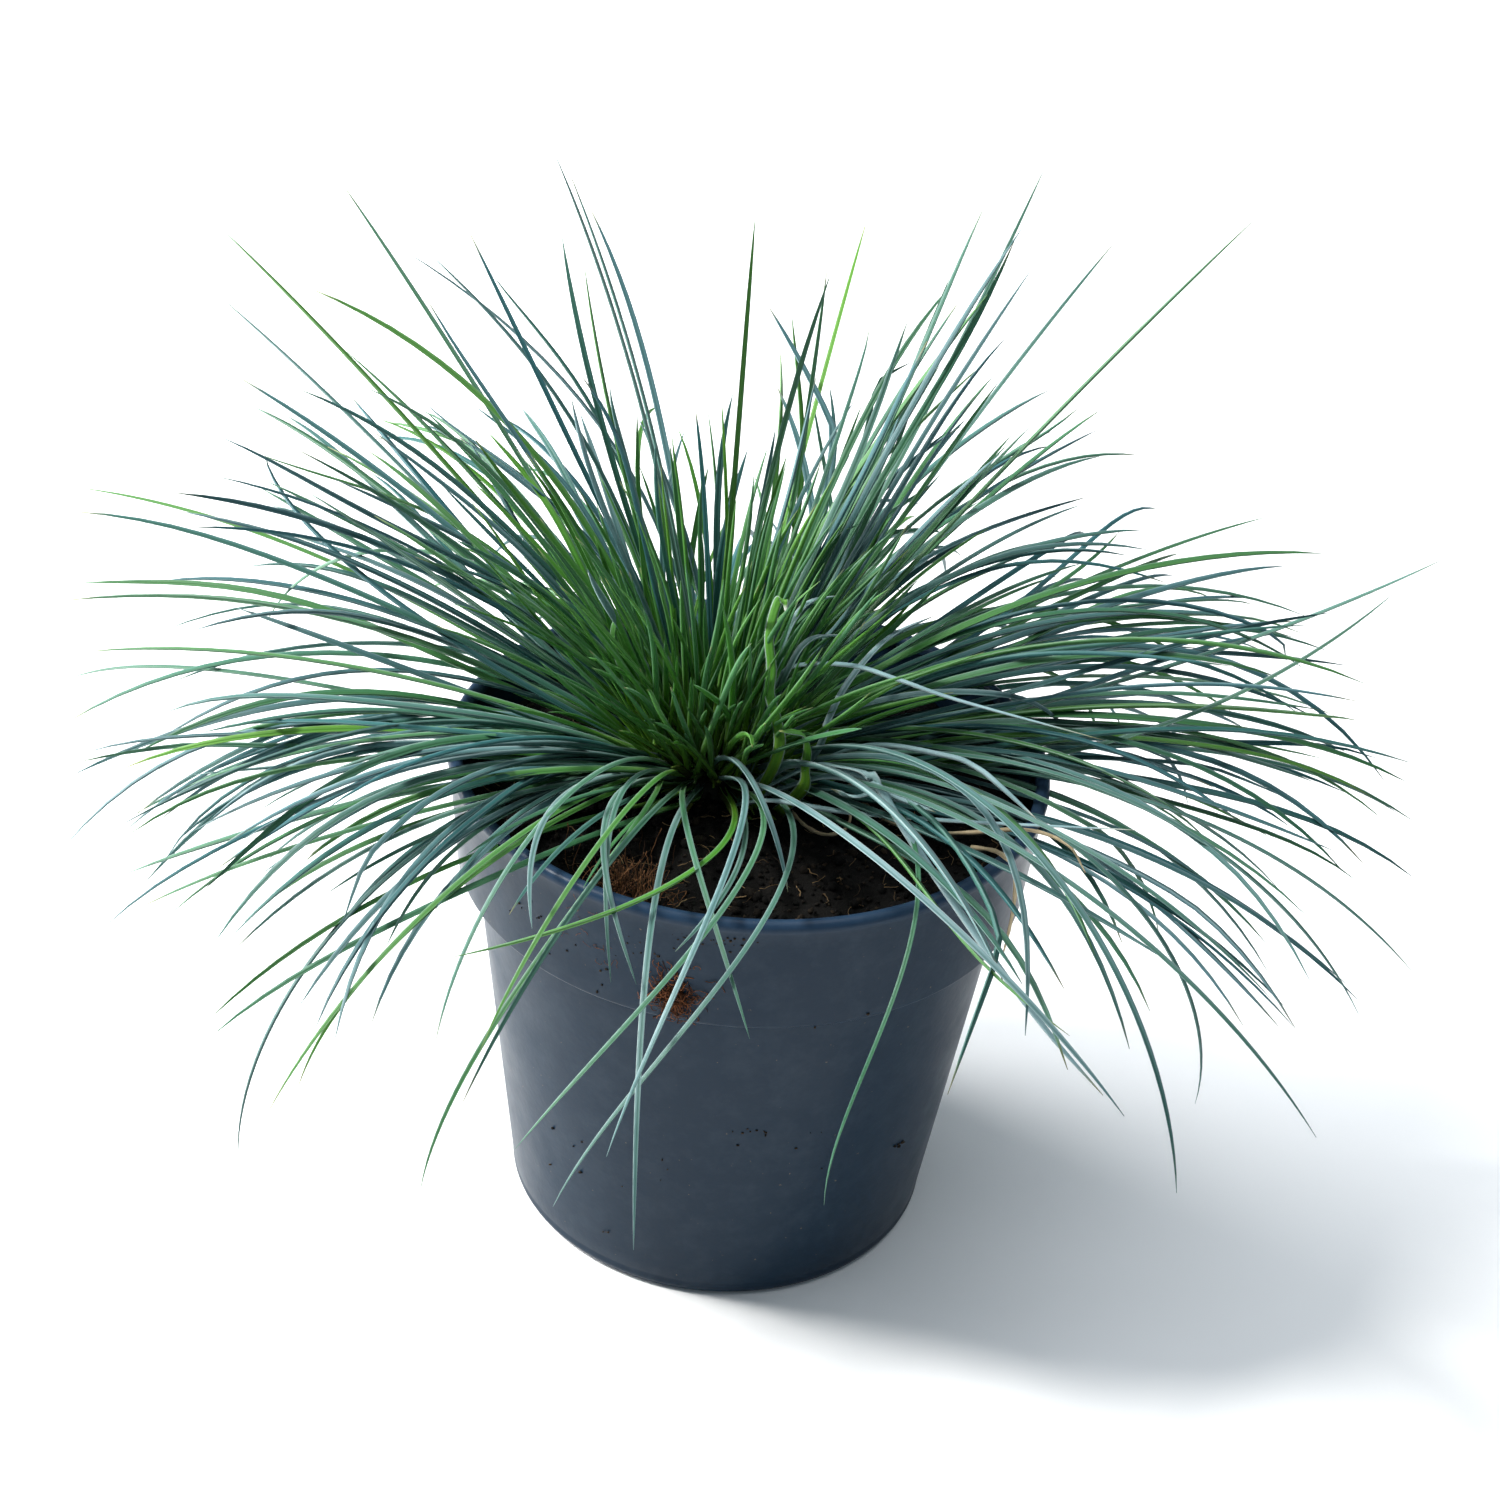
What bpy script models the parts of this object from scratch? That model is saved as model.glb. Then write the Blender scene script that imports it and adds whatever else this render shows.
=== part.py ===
"""A blue fescue clump in a 13 cm nursery pot.

The pot stands on the origin with +Z up, and -Y is its front. It holds potting soil, and the grass
grows from a low crown a little behind and left of the pot's axis. Single blades that stand out are
solids of their own. The rest of the grass is a set of tillers, slender sheaves that reach as far as
their blades do.
"""

import math

import bmesh
import bpy
from mathutils import Matrix, Vector

MM = 0.001
CLOSE = 0.3 * MM  # gap left between pieces that touch

# Pot
SEGMENTS = 48
RIM_RADIUS = 65.0 * MM
POT_HEIGHT = 115.6 * MM
WALL = 1.3 * MM
LIP_RADIUS = 1.6 * MM
COLLAR_HEIGHT = 28.0 * MM
COLLAR_FOOT_RADIUS = 62.5 * MM
BODY_TOP_RADIUS = 58.3 * MM
BASE_RADIUS = 48.4 * MM
BASE_ROUNDING = 2.4 * MM
FLOOR_TOP = 4.2 * MM
DRAIN_RECESS = 2.2 * MM
DRAIN_RING_INNER = 15.0 * MM
DRAIN_RING_OUTER = 39.0 * MM
DRAIN_HOLES = 6
DRAIN_HOLE_RADIUS = 4.5 * MM
DRAIN_HOLE_CIRCLE = 29.0 * MM

# Soil and crown
SOIL_LEVEL = POT_HEIGHT - 10.0 * MM
CROWN_CENTRE = Vector((-8.0 * MM, 5.0 * MM, SOIL_LEVEL))
CROWN_RADIUS = 15.0 * MM
CROWN_RISE = 7.0 * MM
ROOTING_RADIUS = 16.5 * MM  # blades start on a slightly larger dome over the crown
ROOTING_RISE = 8.5 * MM
ROOTING_GAP = 0.8 * MM

# Grass
BLADE_STEPS = 9
DROOP_POWER = 1.5
TILLER_STEPS = 8
TILLER_RADIUS = 2.3 * MM

# Single blades: name, where on the crown it is rooted, heading, lift above level at its root (all in
# degrees, headings anticlockwise from +X), length in mm, how far it droops and how far it turns
# sideways by its tip (degrees), and width in mm.
LEAVES = (
    ("leaf_front_hanging", -98, -99, 23, 133, 85, 16, 1.7),
    ("leaf_front_crossing", -50, -63, 22, 139, 90, -96, 1.5),
    ("leaf_front_left_green", -70, -68, 27, 140, 71, -76, 1.5),
    ("leaf_front_left_pale", -84, -72, 36, 138, 97, -50, 1.6),
    ("leaf_short_green", -77, -74, 19, 110, 27, -89, 1.6),
    ("leaf_front_spur", -110, -93, 26, 92, 66, 30, 1.5),
    ("leaf_short_pale", -91, -77, 47, 63, 104, 13, 1.7),
    ("leaf_front_right_pale", -62, -80, 32, 148, 68, 44, 1.7),
    ("leaf_folded", -42, -66, 39, 109, 79, 11, 2.2),
    ("leaf_curled", -126, -128, 28, 100, 35, 50, 1.6),
    ("leaf_bent", -118, -122, 29, 93, 58, 60, 1.6),
    ("leaf_left_hanging", -134, -86, 25, 134, 105, -55, 1.5),
    ("leaf_left_low", -150, -132, 19, 141, 109, -1, 1.5),
    ("leaf_left_slender", -142, -111, 23, 133, 76, -22, 1.4),
    ("leaf_right_hanging", -31, -56, 41, 170, 116, 3, 1.7),
    ("leaf_right_hooked", -19, -34, 28, 141, 122, 8, 1.5),
    ("leaf_right_low", -37, -61, 32, 166, 76, 28, 1.4),
    ("leaf_right_slender", -25, -56, 33, 140, 65, 25, 1.3),
    ("leaf_right_outer", -13, -25, 28, 147, 82, -2, 1.4),
    ("leaf_right_reach", -2, 11, 14, 148, -22, -11, 1.5),
    ("leaf_right_level", 22, 40, 15, 146, 15, -5, 1.4),
    ("leaf_right_spike", 20, 22, 51, 151, 4, -5, 1.5),
    ("leaf_back_right", 42, 45, 52, 136, -7, 5, 1.5),
    ("leaf_back_green", 70, 77, 44, 129, 14, 2, 1.5),
    ("leaf_top_green", 95, 88, 86, 113, 6, 2, 1.5),
    ("leaf_top_spike", 170, 198, 80, 136, 14, -3, 1.5),
    ("leaf_back_left", 135, 145, 44, 143, 12, -8, 1.5),
    ("leaf_back_left_green", 150, 160, 42, 148, 18, -14, 1.6),
    ("leaf_left_spike", 166, 149, 31, 146, 14, -6, 1.4),
    ("leaf_left_level", 174, 160, 22, 146, 28, 3, 1.4),
    ("leaf_left_reach", 188, 195, 17, 145, 52, -53, 1.5),
)

# Tillers, in three tiers: heading (also where each is rooted), lift, length and droop.
TILLERS = {
    "low": (
        (-43, 27, 128, 66),
        (-8, 23, 142, 60),
        (8, 24, 142, 46),
        (33, 24, 142, 46),
        (58, 25, 136, 52),
        (82, 26, 128, 66),
        (106, 26, 130, 60),
        (130, 26, 136, 50),
        (157, 25, 138, 50),
        (181, 25, 132, 48),
        (204, 25, 126, 56),
        (222, 37, 124, 88),
    ),
    "middle": (
        (0, 40, 138, 36),
        (27, 40, 140, 34),
        (56, 44, 130, 24),
        (122, 42, 130, 30),
        (160, 42, 136, 30),
        (196, 44, 118, 40),
    ),
    "upper": (
        (46, 66, 120, 10),
        (112, 68, 96, 12),
        (176, 66, 118, 16),
    ),
}


def clear_scene():
    for thing in list(bpy.data.objects):
        bpy.data.objects.remove(thing, do_unlink=True)


def new_collection(name):
    collection = bpy.data.collections.new(name)
    bpy.context.scene.collection.children.link(collection)
    return collection


def new_material(name, colour, roughness):
    material = bpy.data.materials.new(name)
    material.use_nodes = True
    shader = material.node_tree.nodes["Principled BSDF"]
    shader.inputs["Base Color"].default_value = (*colour, 1.0)
    shader.inputs["Roughness"].default_value = roughness
    shader.inputs["Metallic"].default_value = 0.0
    return material


def add_object(name, data, collection, material=None):
    thing = bpy.data.objects.new(name, data)
    collection.objects.link(thing)
    if material:
        data.materials.append(material)
    return thing


def arc(centre_x, centre_z, radius, start_degrees, end_degrees, steps):
    """Points on a circular arc in the XZ plane, both ends included."""
    points = []
    for step in range(steps + 1):
        angle = math.radians(start_degrees + (end_degrees - start_degrees) * step / steps)
        points.append((centre_x + radius * math.cos(angle), centre_z + radius * math.sin(angle)))
    return points


def turned(name, profile, collection, material):
    """A solid of revolution about Z from a profile that ends on the axis at both ends."""
    mesh = bpy.data.meshes.new(name)
    edges = [(i, i + 1) for i in range(len(profile) - 1)]
    mesh.from_pydata([(x, 0.0, z) for x, z in profile], edges, [])
    thing = add_object(name, mesh, collection, material)
    screw = thing.modifiers.new("turn", "SCREW")
    screw.steps = SEGMENTS
    screw.render_steps = SEGMENTS
    screw.use_merge_vertices = True
    screw.merge_threshold = 0.01 * MM
    screw.use_smooth_shade = True
    return thing


def pot_profile():
    """From the middle of the inside floor up the inner wall, over the lip and down the outside."""
    step_height = POT_HEIGHT - COLLAR_HEIGHT
    lip_centre = RIM_RADIUS - LIP_RADIUS
    lip_height = POT_HEIGHT - LIP_RADIUS
    inside = [
        (0.0, FLOOR_TOP),
        (BASE_RADIUS - 2.2 * WALL, FLOOR_TOP),
        (BASE_RADIUS - WALL, FLOOR_TOP + WALL),
        (BODY_TOP_RADIUS - WALL, step_height + 0.5 * WALL),
        (COLLAR_FOOT_RADIUS - WALL, step_height + 1.3 * WALL),
        (RIM_RADIUS - 1.25 * WALL, lip_height - 2.4 * MM),
        (lip_centre - LIP_RADIUS, lip_height - 1.0 * MM),
    ]
    lip = arc(lip_centre, lip_height, LIP_RADIUS, 180, 0, 5)
    outside = [
        (RIM_RADIUS, lip_height - 1.2 * MM),
        (COLLAR_FOOT_RADIUS, step_height + 0.5 * MM),
        (COLLAR_FOOT_RADIUS - 0.5 * MM, step_height),
        (BODY_TOP_RADIUS, step_height - 0.7 * MM),
    ]
    corner = arc(BASE_RADIUS - BASE_ROUNDING, BASE_ROUNDING, BASE_ROUNDING, 0, -90, 3)
    underside = [
        (DRAIN_RING_OUTER + 1.5 * MM, 0.0),
        (DRAIN_RING_OUTER, DRAIN_RECESS),
        (DRAIN_RING_INNER, DRAIN_RECESS),
        (DRAIN_RING_INNER - 1.5 * MM, 0.0),
        (0.0, 0.0),
    ]
    return inside + lip + outside + corner + underside


def build_pot(collection, cutters, material):
    pot = turned("pot", pot_profile(), collection, material)
    for index in range(DRAIN_HOLES):
        angle = 2 * math.pi * index / DRAIN_HOLES
        mesh = bpy.data.meshes.new(f"drain_hole_{index + 1}")
        shape = bmesh.new()
        bmesh.ops.create_cone(
            shape,
            cap_ends=True,
            segments=12,
            radius1=DRAIN_HOLE_RADIUS,
            radius2=DRAIN_HOLE_RADIUS,
            depth=4 * FLOOR_TOP,
        )
        shape.to_mesh(mesh)
        shape.free()
        cutter = add_object(mesh.name, mesh, cutters)
        cutter.location = (DRAIN_HOLE_CIRCLE * math.cos(angle), DRAIN_HOLE_CIRCLE * math.sin(angle), 0.0)
        cutter.hide_render = True
        cutter.display_type = "WIRE"
        cut = pot.modifiers.new(cutter.name, "BOOLEAN")
        cut.operation = "DIFFERENCE"
        cut.solver = "EXACT"
        cut.object = cutter


def build_soil(collection, material):
    """Potting soil filling the pot to just under the lip, a little lower where it meets the wall."""
    step_height = POT_HEIGHT - COLLAR_HEIGHT
    clear = WALL + CLOSE + 0.1 * MM
    profile = [
        (0.0, SOIL_LEVEL),
        (0.8 * RIM_RADIUS, SOIL_LEVEL - 0.3 * MM),
        (COLLAR_FOOT_RADIUS - clear, SOIL_LEVEL - 2.0 * MM),
        (COLLAR_FOOT_RADIUS - clear, step_height + 1.3 * WALL + CLOSE),
        (BODY_TOP_RADIUS - clear, step_height + 0.5 * WALL),
        (BASE_RADIUS - clear, FLOOR_TOP + WALL + CLOSE),
        (BASE_RADIUS - clear - WALL, FLOOR_TOP + CLOSE),
        (0.0, FLOOR_TOP + CLOSE),
    ]
    turned("potting_soil", profile, collection, material)


def build_crown(collection, material):
    """The low dome of packed leaf bases that every blade grows from."""
    dome = arc(0.0, 0.0, 1.0, 90, 0, 5)
    profile = [(CROWN_RADIUS * x, CROWN_RISE * z) for x, z in dome]
    profile[0] = (0.0, CROWN_RISE)
    crown = turned("crown", profile + [(0.0, 0.0)], collection, material)
    crown.modifiers["turn"].steps = SEGMENTS // 2
    crown.modifiers["turn"].render_steps = SEGMENTS // 2
    crown.location = CROWN_CENTRE + Vector((0.0, 0.0, CLOSE))


def heading_vector(heading, lift):
    turn = math.radians(heading)
    rise = math.radians(lift)
    return Vector((math.cos(turn) * math.cos(rise), math.sin(turn) * math.cos(rise), math.sin(rise)))


def root_point(rooted, lift):
    """Where a blade leaves the crown: low blades root at its edge, upright ones near its top."""
    slope = heading_vector(rooted, min(max(lift, 5), 85))
    reach = Vector((slope.x * ROOTING_RADIUS, slope.y * ROOTING_RADIUS, slope.z * ROOTING_RISE))
    return CROWN_CENTRE + reach + Vector((0.0, 0.0, ROOTING_GAP))


def blade_route(rooted, heading, lift, length, droop, turn, steps):
    """Points along a blade that leaves the crown straight and bends more and more towards its tip."""
    point = root_point(rooted, lift)
    route = [point.copy()]
    for step in range(steps):
        along = (step + 0.5) / steps
        point += (length / steps) * heading_vector(heading + turn * along, lift - droop * along**DROOP_POWER)
        route.append(point.copy())
    return route


def tapered_curve(name, route, radii, collection, material):
    """A curve object along a route, whose section is scaled by a radius at each point."""
    curve = bpy.data.curves.new(name, "CURVE")
    curve.dimensions = "3D"
    curve.twist_mode = "Z_UP"
    curve.use_fill_caps = True
    spline = curve.splines.new("POLY")
    spline.points.add(len(route) - 1)
    for point, place, radius in zip(spline.points, route, radii):
        point.co = (*place, 1.0)
        point.radius = radius
    spline.use_smooth = True
    return add_object(name, curve, collection, material)


def blade_section(guides):
    """The folded section of a fescue blade, one unit wide: two wings that meet in a shallow keel."""
    curve = bpy.data.curves.new("blade_section", "CURVE")
    curve.dimensions = "2D"
    spline = curve.splines.new("POLY")
    corners = ((0.0, 0.06), (0.5, 0.14), (0.0, -0.24), (-0.5, 0.14))
    spline.points.add(len(corners) - 1)
    for point, (x, y) in zip(spline.points, corners):
        point.co = (x, y, 0.0, 1.0)
    spline.use_cyclic_u = True
    section = add_object("blade_section", curve, guides)
    section.hide_render = True
    section.display_type = "WIRE"
    return section


def blade_taper(along):
    """Width along a blade as a share of its full width: narrow at the root, fine at the tip."""
    return min(0.7 + 1.2 * along, 1.0) * (1.0 - 0.93 * along**2.6)


def build_leaves(collection, section, material):
    for name, rooted, heading, lift, length, droop, turn, width in LEAVES:
        route = blade_route(rooted, heading, lift, length * MM, droop, turn, BLADE_STEPS)
        radii = [width * MM * blade_taper(i / BLADE_STEPS) for i in range(BLADE_STEPS + 1)]
        leaf = tapered_curve(name, route, radii, collection, material)
        leaf.data.bevel_mode = "OBJECT"
        leaf.data.bevel_object = section


def tiller_taper(along):
    """Thickness along a tiller: tight at the crown, fullest past its middle, closing to a tip."""
    return 0.42 + 0.58 * math.sin(math.pi * min(along / 1.1, 1.0)) - 0.34 * along**3


def build_tillers(collection, material):
    for tier, rows in TILLERS.items():
        for index, (heading, lift, length, droop) in enumerate(rows):
            route = blade_route(heading, heading, lift, length * MM, droop, 0, TILLER_STEPS)
            radii = [tiller_taper(i / TILLER_STEPS) for i in range(TILLER_STEPS + 1)]
            name = f"tiller_{tier}_{index + 1}"
            tiller = tapered_curve(name, route, radii, collection, material)
            tiller.data.bevel_depth = TILLER_RADIUS
            tiller.data.bevel_resolution = 1


def build_dry_stems(collection, material):
    """Dead pale stems: a runner looped on the soil, a blade lying over the rim and one hanging."""
    stem_height = SOIL_LEVEL + 1.4 * MM
    runner = (
        (10.0, -11.5, 0.0),
        (13.0, -17.0, 0.4),
        (17.0, -20.0, 0.6),
        (21.0, -18.0, 0.5),
        (22.5, -12.5, 0.8),
        (20.5, -7.0, 1.0),
    )
    lying = (
        (22.0, 0.0, 0.5),
        (29.0, -12.0, 1.0),
        (38.0, -19.5, 3.0),
        (48.0, -24.0, 7.0),
        (58.0, -28.0, 11.5),
        (66.0, -33.5, 12.5),
        (70.0, -38.0, 9.0),
    )
    hanging = (
        (47.0, -31.0, 8.0),
        (52.0, -34.5, 9.8),
        (55.5, -37.0, 8.0),
        (56.5, -38.0, 2.0),
        (56.5, -38.0, -6.0),
        (56.0, -37.5, -14.0),
    )
    for name, places, radius in (
        ("dry_runner", runner, 0.4),
        ("dry_leaf_lying", lying, 0.45),
        ("dry_leaf_hanging", hanging, 0.45),
    ):
        route = [Vector((x * MM, y * MM, stem_height + z * MM)) for x, y, z in places]
        stem = tapered_curve(name, route, [1.0] * len(route), collection, material)
        stem.data.bevel_depth = radius * MM
        stem.data.bevel_resolution = 0


def lump(name, place, half_sizes, heading, collection, material):
    """A small rounded lump with an uneven surface."""
    shape = bmesh.new()
    bmesh.ops.create_icosphere(shape, subdivisions=2, radius=1.0)
    for vertex in shape.verts:
        uneven = math.sin(7.0 * vertex.co.x + 3.0) * math.sin(6.0 * vertex.co.y + 1.0)
        vertex.co *= 1.0 + 0.12 * uneven * math.cos(5.0 * vertex.co.z)
    bmesh.ops.scale(shape, vec=[size * MM for size in half_sizes], verts=shape.verts)
    mesh = bpy.data.meshes.new(name)
    shape.to_mesh(mesh)
    shape.free()
    thing = add_object(name, mesh, collection, material)
    thing.matrix_world = Matrix.Translation(place) @ Matrix.Rotation(math.radians(heading), 4, "Z")
    mesh.shade_smooth()


def build_coir(collection, material):
    """Coconut fibre: a tuft on the soil by the rim, and a smear stuck to the outside of the collar."""
    tuft_place = Vector((-23.0 * MM, -44.0 * MM, SOIL_LEVEL + 4.6 * MM))
    lump("coir_tuft", tuft_place, (6.0, 5.0, 4.0), 20, collection, material)
    smear_heading = math.radians(-100)
    smear_radius = COLLAR_FOOT_RADIUS + 2.6 * MM
    smear_height = POT_HEIGHT - COLLAR_HEIGHT + 6.5 * MM
    smear_place = Vector(
        (smear_radius * math.cos(smear_heading), smear_radius * math.sin(smear_heading), smear_height)
    )
    lump("coir_smear", smear_place, (1.2, 6.0, 5.5), -100, collection, material)


def main():
    clear_scene()
    parts = new_collection("potted_blue_fescue")
    guides = new_collection("guides")
    plastic = new_material("pot_plastic", (0.045, 0.075, 0.11), 0.38)
    soil = new_material("soil", (0.012, 0.009, 0.007), 0.95)
    sheath = new_material("leaf_base", (0.10, 0.22, 0.03), 0.6)
    leaf = new_material("leaf", (0.07, 0.17, 0.15), 0.5)
    dry = new_material("dry_leaf", (0.42, 0.33, 0.2), 0.7)
    fibre = new_material("coir", (0.17, 0.06, 0.02), 0.95)
    build_pot(parts, guides, plastic)
    build_soil(parts, soil)
    build_crown(parts, sheath)
    build_leaves(parts, blade_section(guides), leaf)
    build_tillers(parts, leaf)
    build_dry_stems(parts, dry)
    build_coir(parts, fibre)


main()
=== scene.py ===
"""The looks of a blue fescue clump in a 13 cm nursery pot: every blade of the grass, the crumbly soil
with its fibres, and the scuffed blue-grey plastic of the pot.

Lengths are in metres unless a name or a table says mm, angles are in degrees, and headings are
anticlockwise from +X. -Y is the front.
"""

import math
import random
from collections import namedtuple
from functools import lru_cache

import bmesh
import bpy
import numpy as np
from mathutils import Matrix, Vector, noise


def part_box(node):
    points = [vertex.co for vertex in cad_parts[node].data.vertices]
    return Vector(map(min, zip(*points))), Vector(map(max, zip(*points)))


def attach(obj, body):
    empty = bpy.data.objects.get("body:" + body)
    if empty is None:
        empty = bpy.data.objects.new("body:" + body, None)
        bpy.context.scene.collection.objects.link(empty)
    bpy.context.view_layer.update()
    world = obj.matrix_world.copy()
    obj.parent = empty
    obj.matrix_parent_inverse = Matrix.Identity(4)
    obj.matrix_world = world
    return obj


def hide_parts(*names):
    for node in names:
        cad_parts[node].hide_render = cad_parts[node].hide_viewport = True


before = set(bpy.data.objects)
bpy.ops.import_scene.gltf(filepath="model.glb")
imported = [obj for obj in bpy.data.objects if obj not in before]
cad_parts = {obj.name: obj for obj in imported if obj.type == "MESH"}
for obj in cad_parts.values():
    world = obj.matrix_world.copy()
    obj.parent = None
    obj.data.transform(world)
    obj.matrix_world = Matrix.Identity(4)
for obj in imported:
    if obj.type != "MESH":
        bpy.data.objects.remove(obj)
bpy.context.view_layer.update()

MM = 0.001

# Sizes read from the frame
POT_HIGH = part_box("pot")[1]
CROWN_LOW, CROWN_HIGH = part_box("crown")
RIM_RADIUS = POT_HIGH[0]
POT_HEIGHT = POT_HIGH[2]
CROWN_X = 0.5 * (CROWN_LOW[0] + CROWN_HIGH[0])
CROWN_Y = 0.5 * (CROWN_LOW[1] + CROWN_HIGH[1])
SOIL_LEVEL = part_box("potting_soil")[1][2]

# The pot's section, as in part.py
WALL = 1.3 * MM
LIP_RADIUS = 1.6 * MM
COLLAR_HEIGHT = 28.0 * MM
STEP_HEIGHT = POT_HEIGHT - COLLAR_HEIGHT  # where the collar steps out over the body
COLLAR_FOOT_RADIUS = 62.5 * MM
BODY_TOP_RADIUS = 58.3 * MM
BASE_RADIUS = 48.4 * MM
BASE_ROUNDING = 2.4 * MM
FLOOR_TOP = 4.2 * MM
DRAIN_RECESS = 2.2 * MM
DRAIN_RING_INNER = 15.0 * MM
DRAIN_RING_OUTER = 39.0 * MM
DRAIN_HOLES = 6
DRAIN_HOLE_RADIUS = 4.5 * MM
DRAIN_HOLE_CIRCLE = 29.0 * MM

POT_SEGMENTS = 160
SIDE_BAND_HEIGHT = 3.4 * MM  # a faint moulded line round the foot of the pot

# Where the blades leave the crown, as in part.py
ROOTING_RADIUS = 16.5 * MM
ROOTING_RISE = 8.5 * MM
ROOTING_GAP = 0.8 * MM
DROOP_POWER = 1.5

# Seeds of the random draws
SEEDS = {"single": 7, "crown": 5, "crumbs": 11, "fibres": 31, "coir": 41, "dirt": 53}
SHEAF_SEEDS = {"low": 100, "middle": 200, "upper": 320}

# Single blades, as in part.py: name, rooted, heading, lift, length mm, droop, turn, width mm; then how
# grass-green it is and how pale its bloom and painted highlight are, both from 0 to 1.
LEAVES = (
    ("front_hanging", -98, -99, 23, 133, 85, 16, 1.7, 0.1, 0.75),
    ("front_crossing", -50, -63, 22, 139, 90, -96, 1.5, 0.2, 0.5),
    ("front_left_green", -70, -68, 27, 140, 71, -76, 1.5, 0.4, 0.4),
    ("front_left_pale", -84, -72, 36, 138, 97, -50, 1.6, 0.05, 0.6),
    ("short_green", -77, -74, 19, 110, 27, -89, 1.6, 0.95, 0.3),
    ("front_spur", -110, -93, 26, 92, 66, 30, 1.5, 0.3, 0.4),
    ("short_pale", -91, -77, 47, 63, 104, 13, 1.7, 0.05, 0.9),
    ("front_right_pale", -62, -80, 32, 148, 68, 44, 1.7, 0.0, 1.0),
    ("folded", -42, -66, 39, 109, 79, 11, 2.2, 0.1, 1.0),
    ("curled", -126, -128, 28, 100, 35, 50, 1.6, 0.1, 1.0),
    ("bent", -118, -122, 29, 93, 58, 60, 1.6, 0.2, 0.7),
    ("left_hanging", -134, -86, 25, 134, 105, -55, 1.5, 0.6, 0.4),
    ("left_low", -150, -132, 19, 141, 109, -1, 1.5, 0.15, 0.4),
    ("left_slender", -142, -111, 23, 133, 76, -22, 1.4, 0.75, 0.4),
    ("right_hanging", -31, -56, 41, 170, 116, 3, 1.7, 0.1, 0.5),
    ("right_hooked", -19, -34, 28, 141, 122, 8, 1.5, 0.2, 0.4),
    ("right_low", -37, -61, 32, 166, 76, 28, 1.4, 0.2, 0.5),
    ("right_slender", -25, -56, 33, 140, 65, 25, 1.3, 0.2, 0.5),
    ("right_outer", -13, -25, 28, 147, 82, -2, 1.4, 0.2, 0.4),
    ("right_reach", -2, 11, 14, 148, -22, -11, 1.5, 0.25, 0.5),
    ("right_level", 22, 40, 15, 146, 15, -5, 1.4, 0.5, 0.3),
    ("right_spike", 20, 22, 51, 151, 4, -5, 1.5, 0.6, 0.3),
    ("back_right", 42, 45, 52, 136, -7, 5, 1.5, 0.25, 0.3),
    ("back_green", 70, 77, 44, 129, 14, 2, 1.5, 1.0, 0.3),
    ("top_green", 95, 88, 86, 113, 6, 2, 1.5, 0.9, 0.2),
    ("top_spike", 170, 198, 80, 136, 14, -3, 1.5, 0.2, 0.5),
    ("back_left", 135, 145, 44, 143, 12, -8, 1.5, 0.4, 0.4),
    ("back_left_green", 150, 160, 42, 148, 18, -14, 1.6, 0.95, 0.3),
    ("left_spike", 166, 149, 31, 146, 14, -6, 1.4, 0.15, 0.6),
    ("left_level", 174, 160, 22, 146, 28, 3, 1.4, 0.8, 0.3),
    ("left_reach", 188, 195, 17, 145, 52, -53, 1.5, 0.4, 0.5),
)

# More single blades that show one by one, with no solid of their own: the same numbers.
LOOSE_BLADES = (
    # in front of the crown
    (-68, -78, 15, 78, 12, -37, 1.4, 0.2, 0.8),
    (-114, -119, 35, 87, 85, 45, 1.4, 0.2, 0.6),
    (-110, -97, 26, 116, 76, -24, 1.4, 0.25, 0.5),
    (-120, -93, 35, 117, 86, -27, 1.4, 0.8, 0.4),
    (-128, -110, 38, 114, 111, -8, 1.4, 0.3, 0.5),
    # at the left
    (-136, -112, 21, 120, 94, -39, 1.4, 0.8, 0.3),
    (-138, -141, 16, 93, 28, 41, 1.3, 0.3, 0.5),
    # at the right
    (-12, -6, 15, 147, 56, -13, 1.4, 0.2, 0.4),
    (-5, -3, 15, 151, 52, 26, 1.4, 0.2, 0.4),
    (-12, -6, 8, 138, -43, 13, 1.4, 0.3, 0.5),
    # at the top
    (40, 44, 46, 137, 12, 4, 1.4, 0.2, 0.5),
    (130, 137, 61, 102, -17, 9, 1.4, 0.9, 0.3),
    (140, 196, 80, 132, 13, 0, 1.4, 0.2, 0.5),
    # at the far left
    (-155, -135, 33, 97, 68, -26, 1.4, 0.3, 0.5),
    (-160, -123, 17, 120, 49, -50, 1.4, 0.5, 0.4),
    (178, 164, 52, 115, 120, 9, 1.4, 0.4, 0.5),
    # across the pot at the right
    (-46, -29, 31, 143, 125, -119, 1.2, 0.35, 0.0),
    # short ones at the front left
    (-120, -118, 20, 72, 30, 10, 1.4, 0.1, 0.2),
    (-128, -135, 18, 84, 44, -12, 1.4, 0.2, 0.2),
    (-104, -112, 22, 58, 30, 6, 1.3, 0.5, 0.1),
    (-140, -128, 24, 78, 50, 14, 1.4, 0.1, 0.3),
    (-112, -124, 26, 66, 40, -10, 1.4, 0.3, 0.1),
    # short ones over the rim at the back right
    (20, 27, 34, 84, 34, 8, 1.5, 0.3, 0.3),
    (34, 38, 37, 92, 30, -6, 1.5, 0.1, 0.5),
    (45, 33, 33, 78, 40, 12, 1.4, 0.6, 0.2),
    (28, 44, 36, 88, 44, -9, 1.5, 0.2, 0.4),
    (12, 34, 30, 80, 30, 4, 1.4, 0.5, 0.2),
    (40, 40, 30, 86, 34, 0, 1.6, 0.2, 0.2),
    (30, 31, 31, 76, 34, -4, 1.6, 0.3, 0.2),
)
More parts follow.
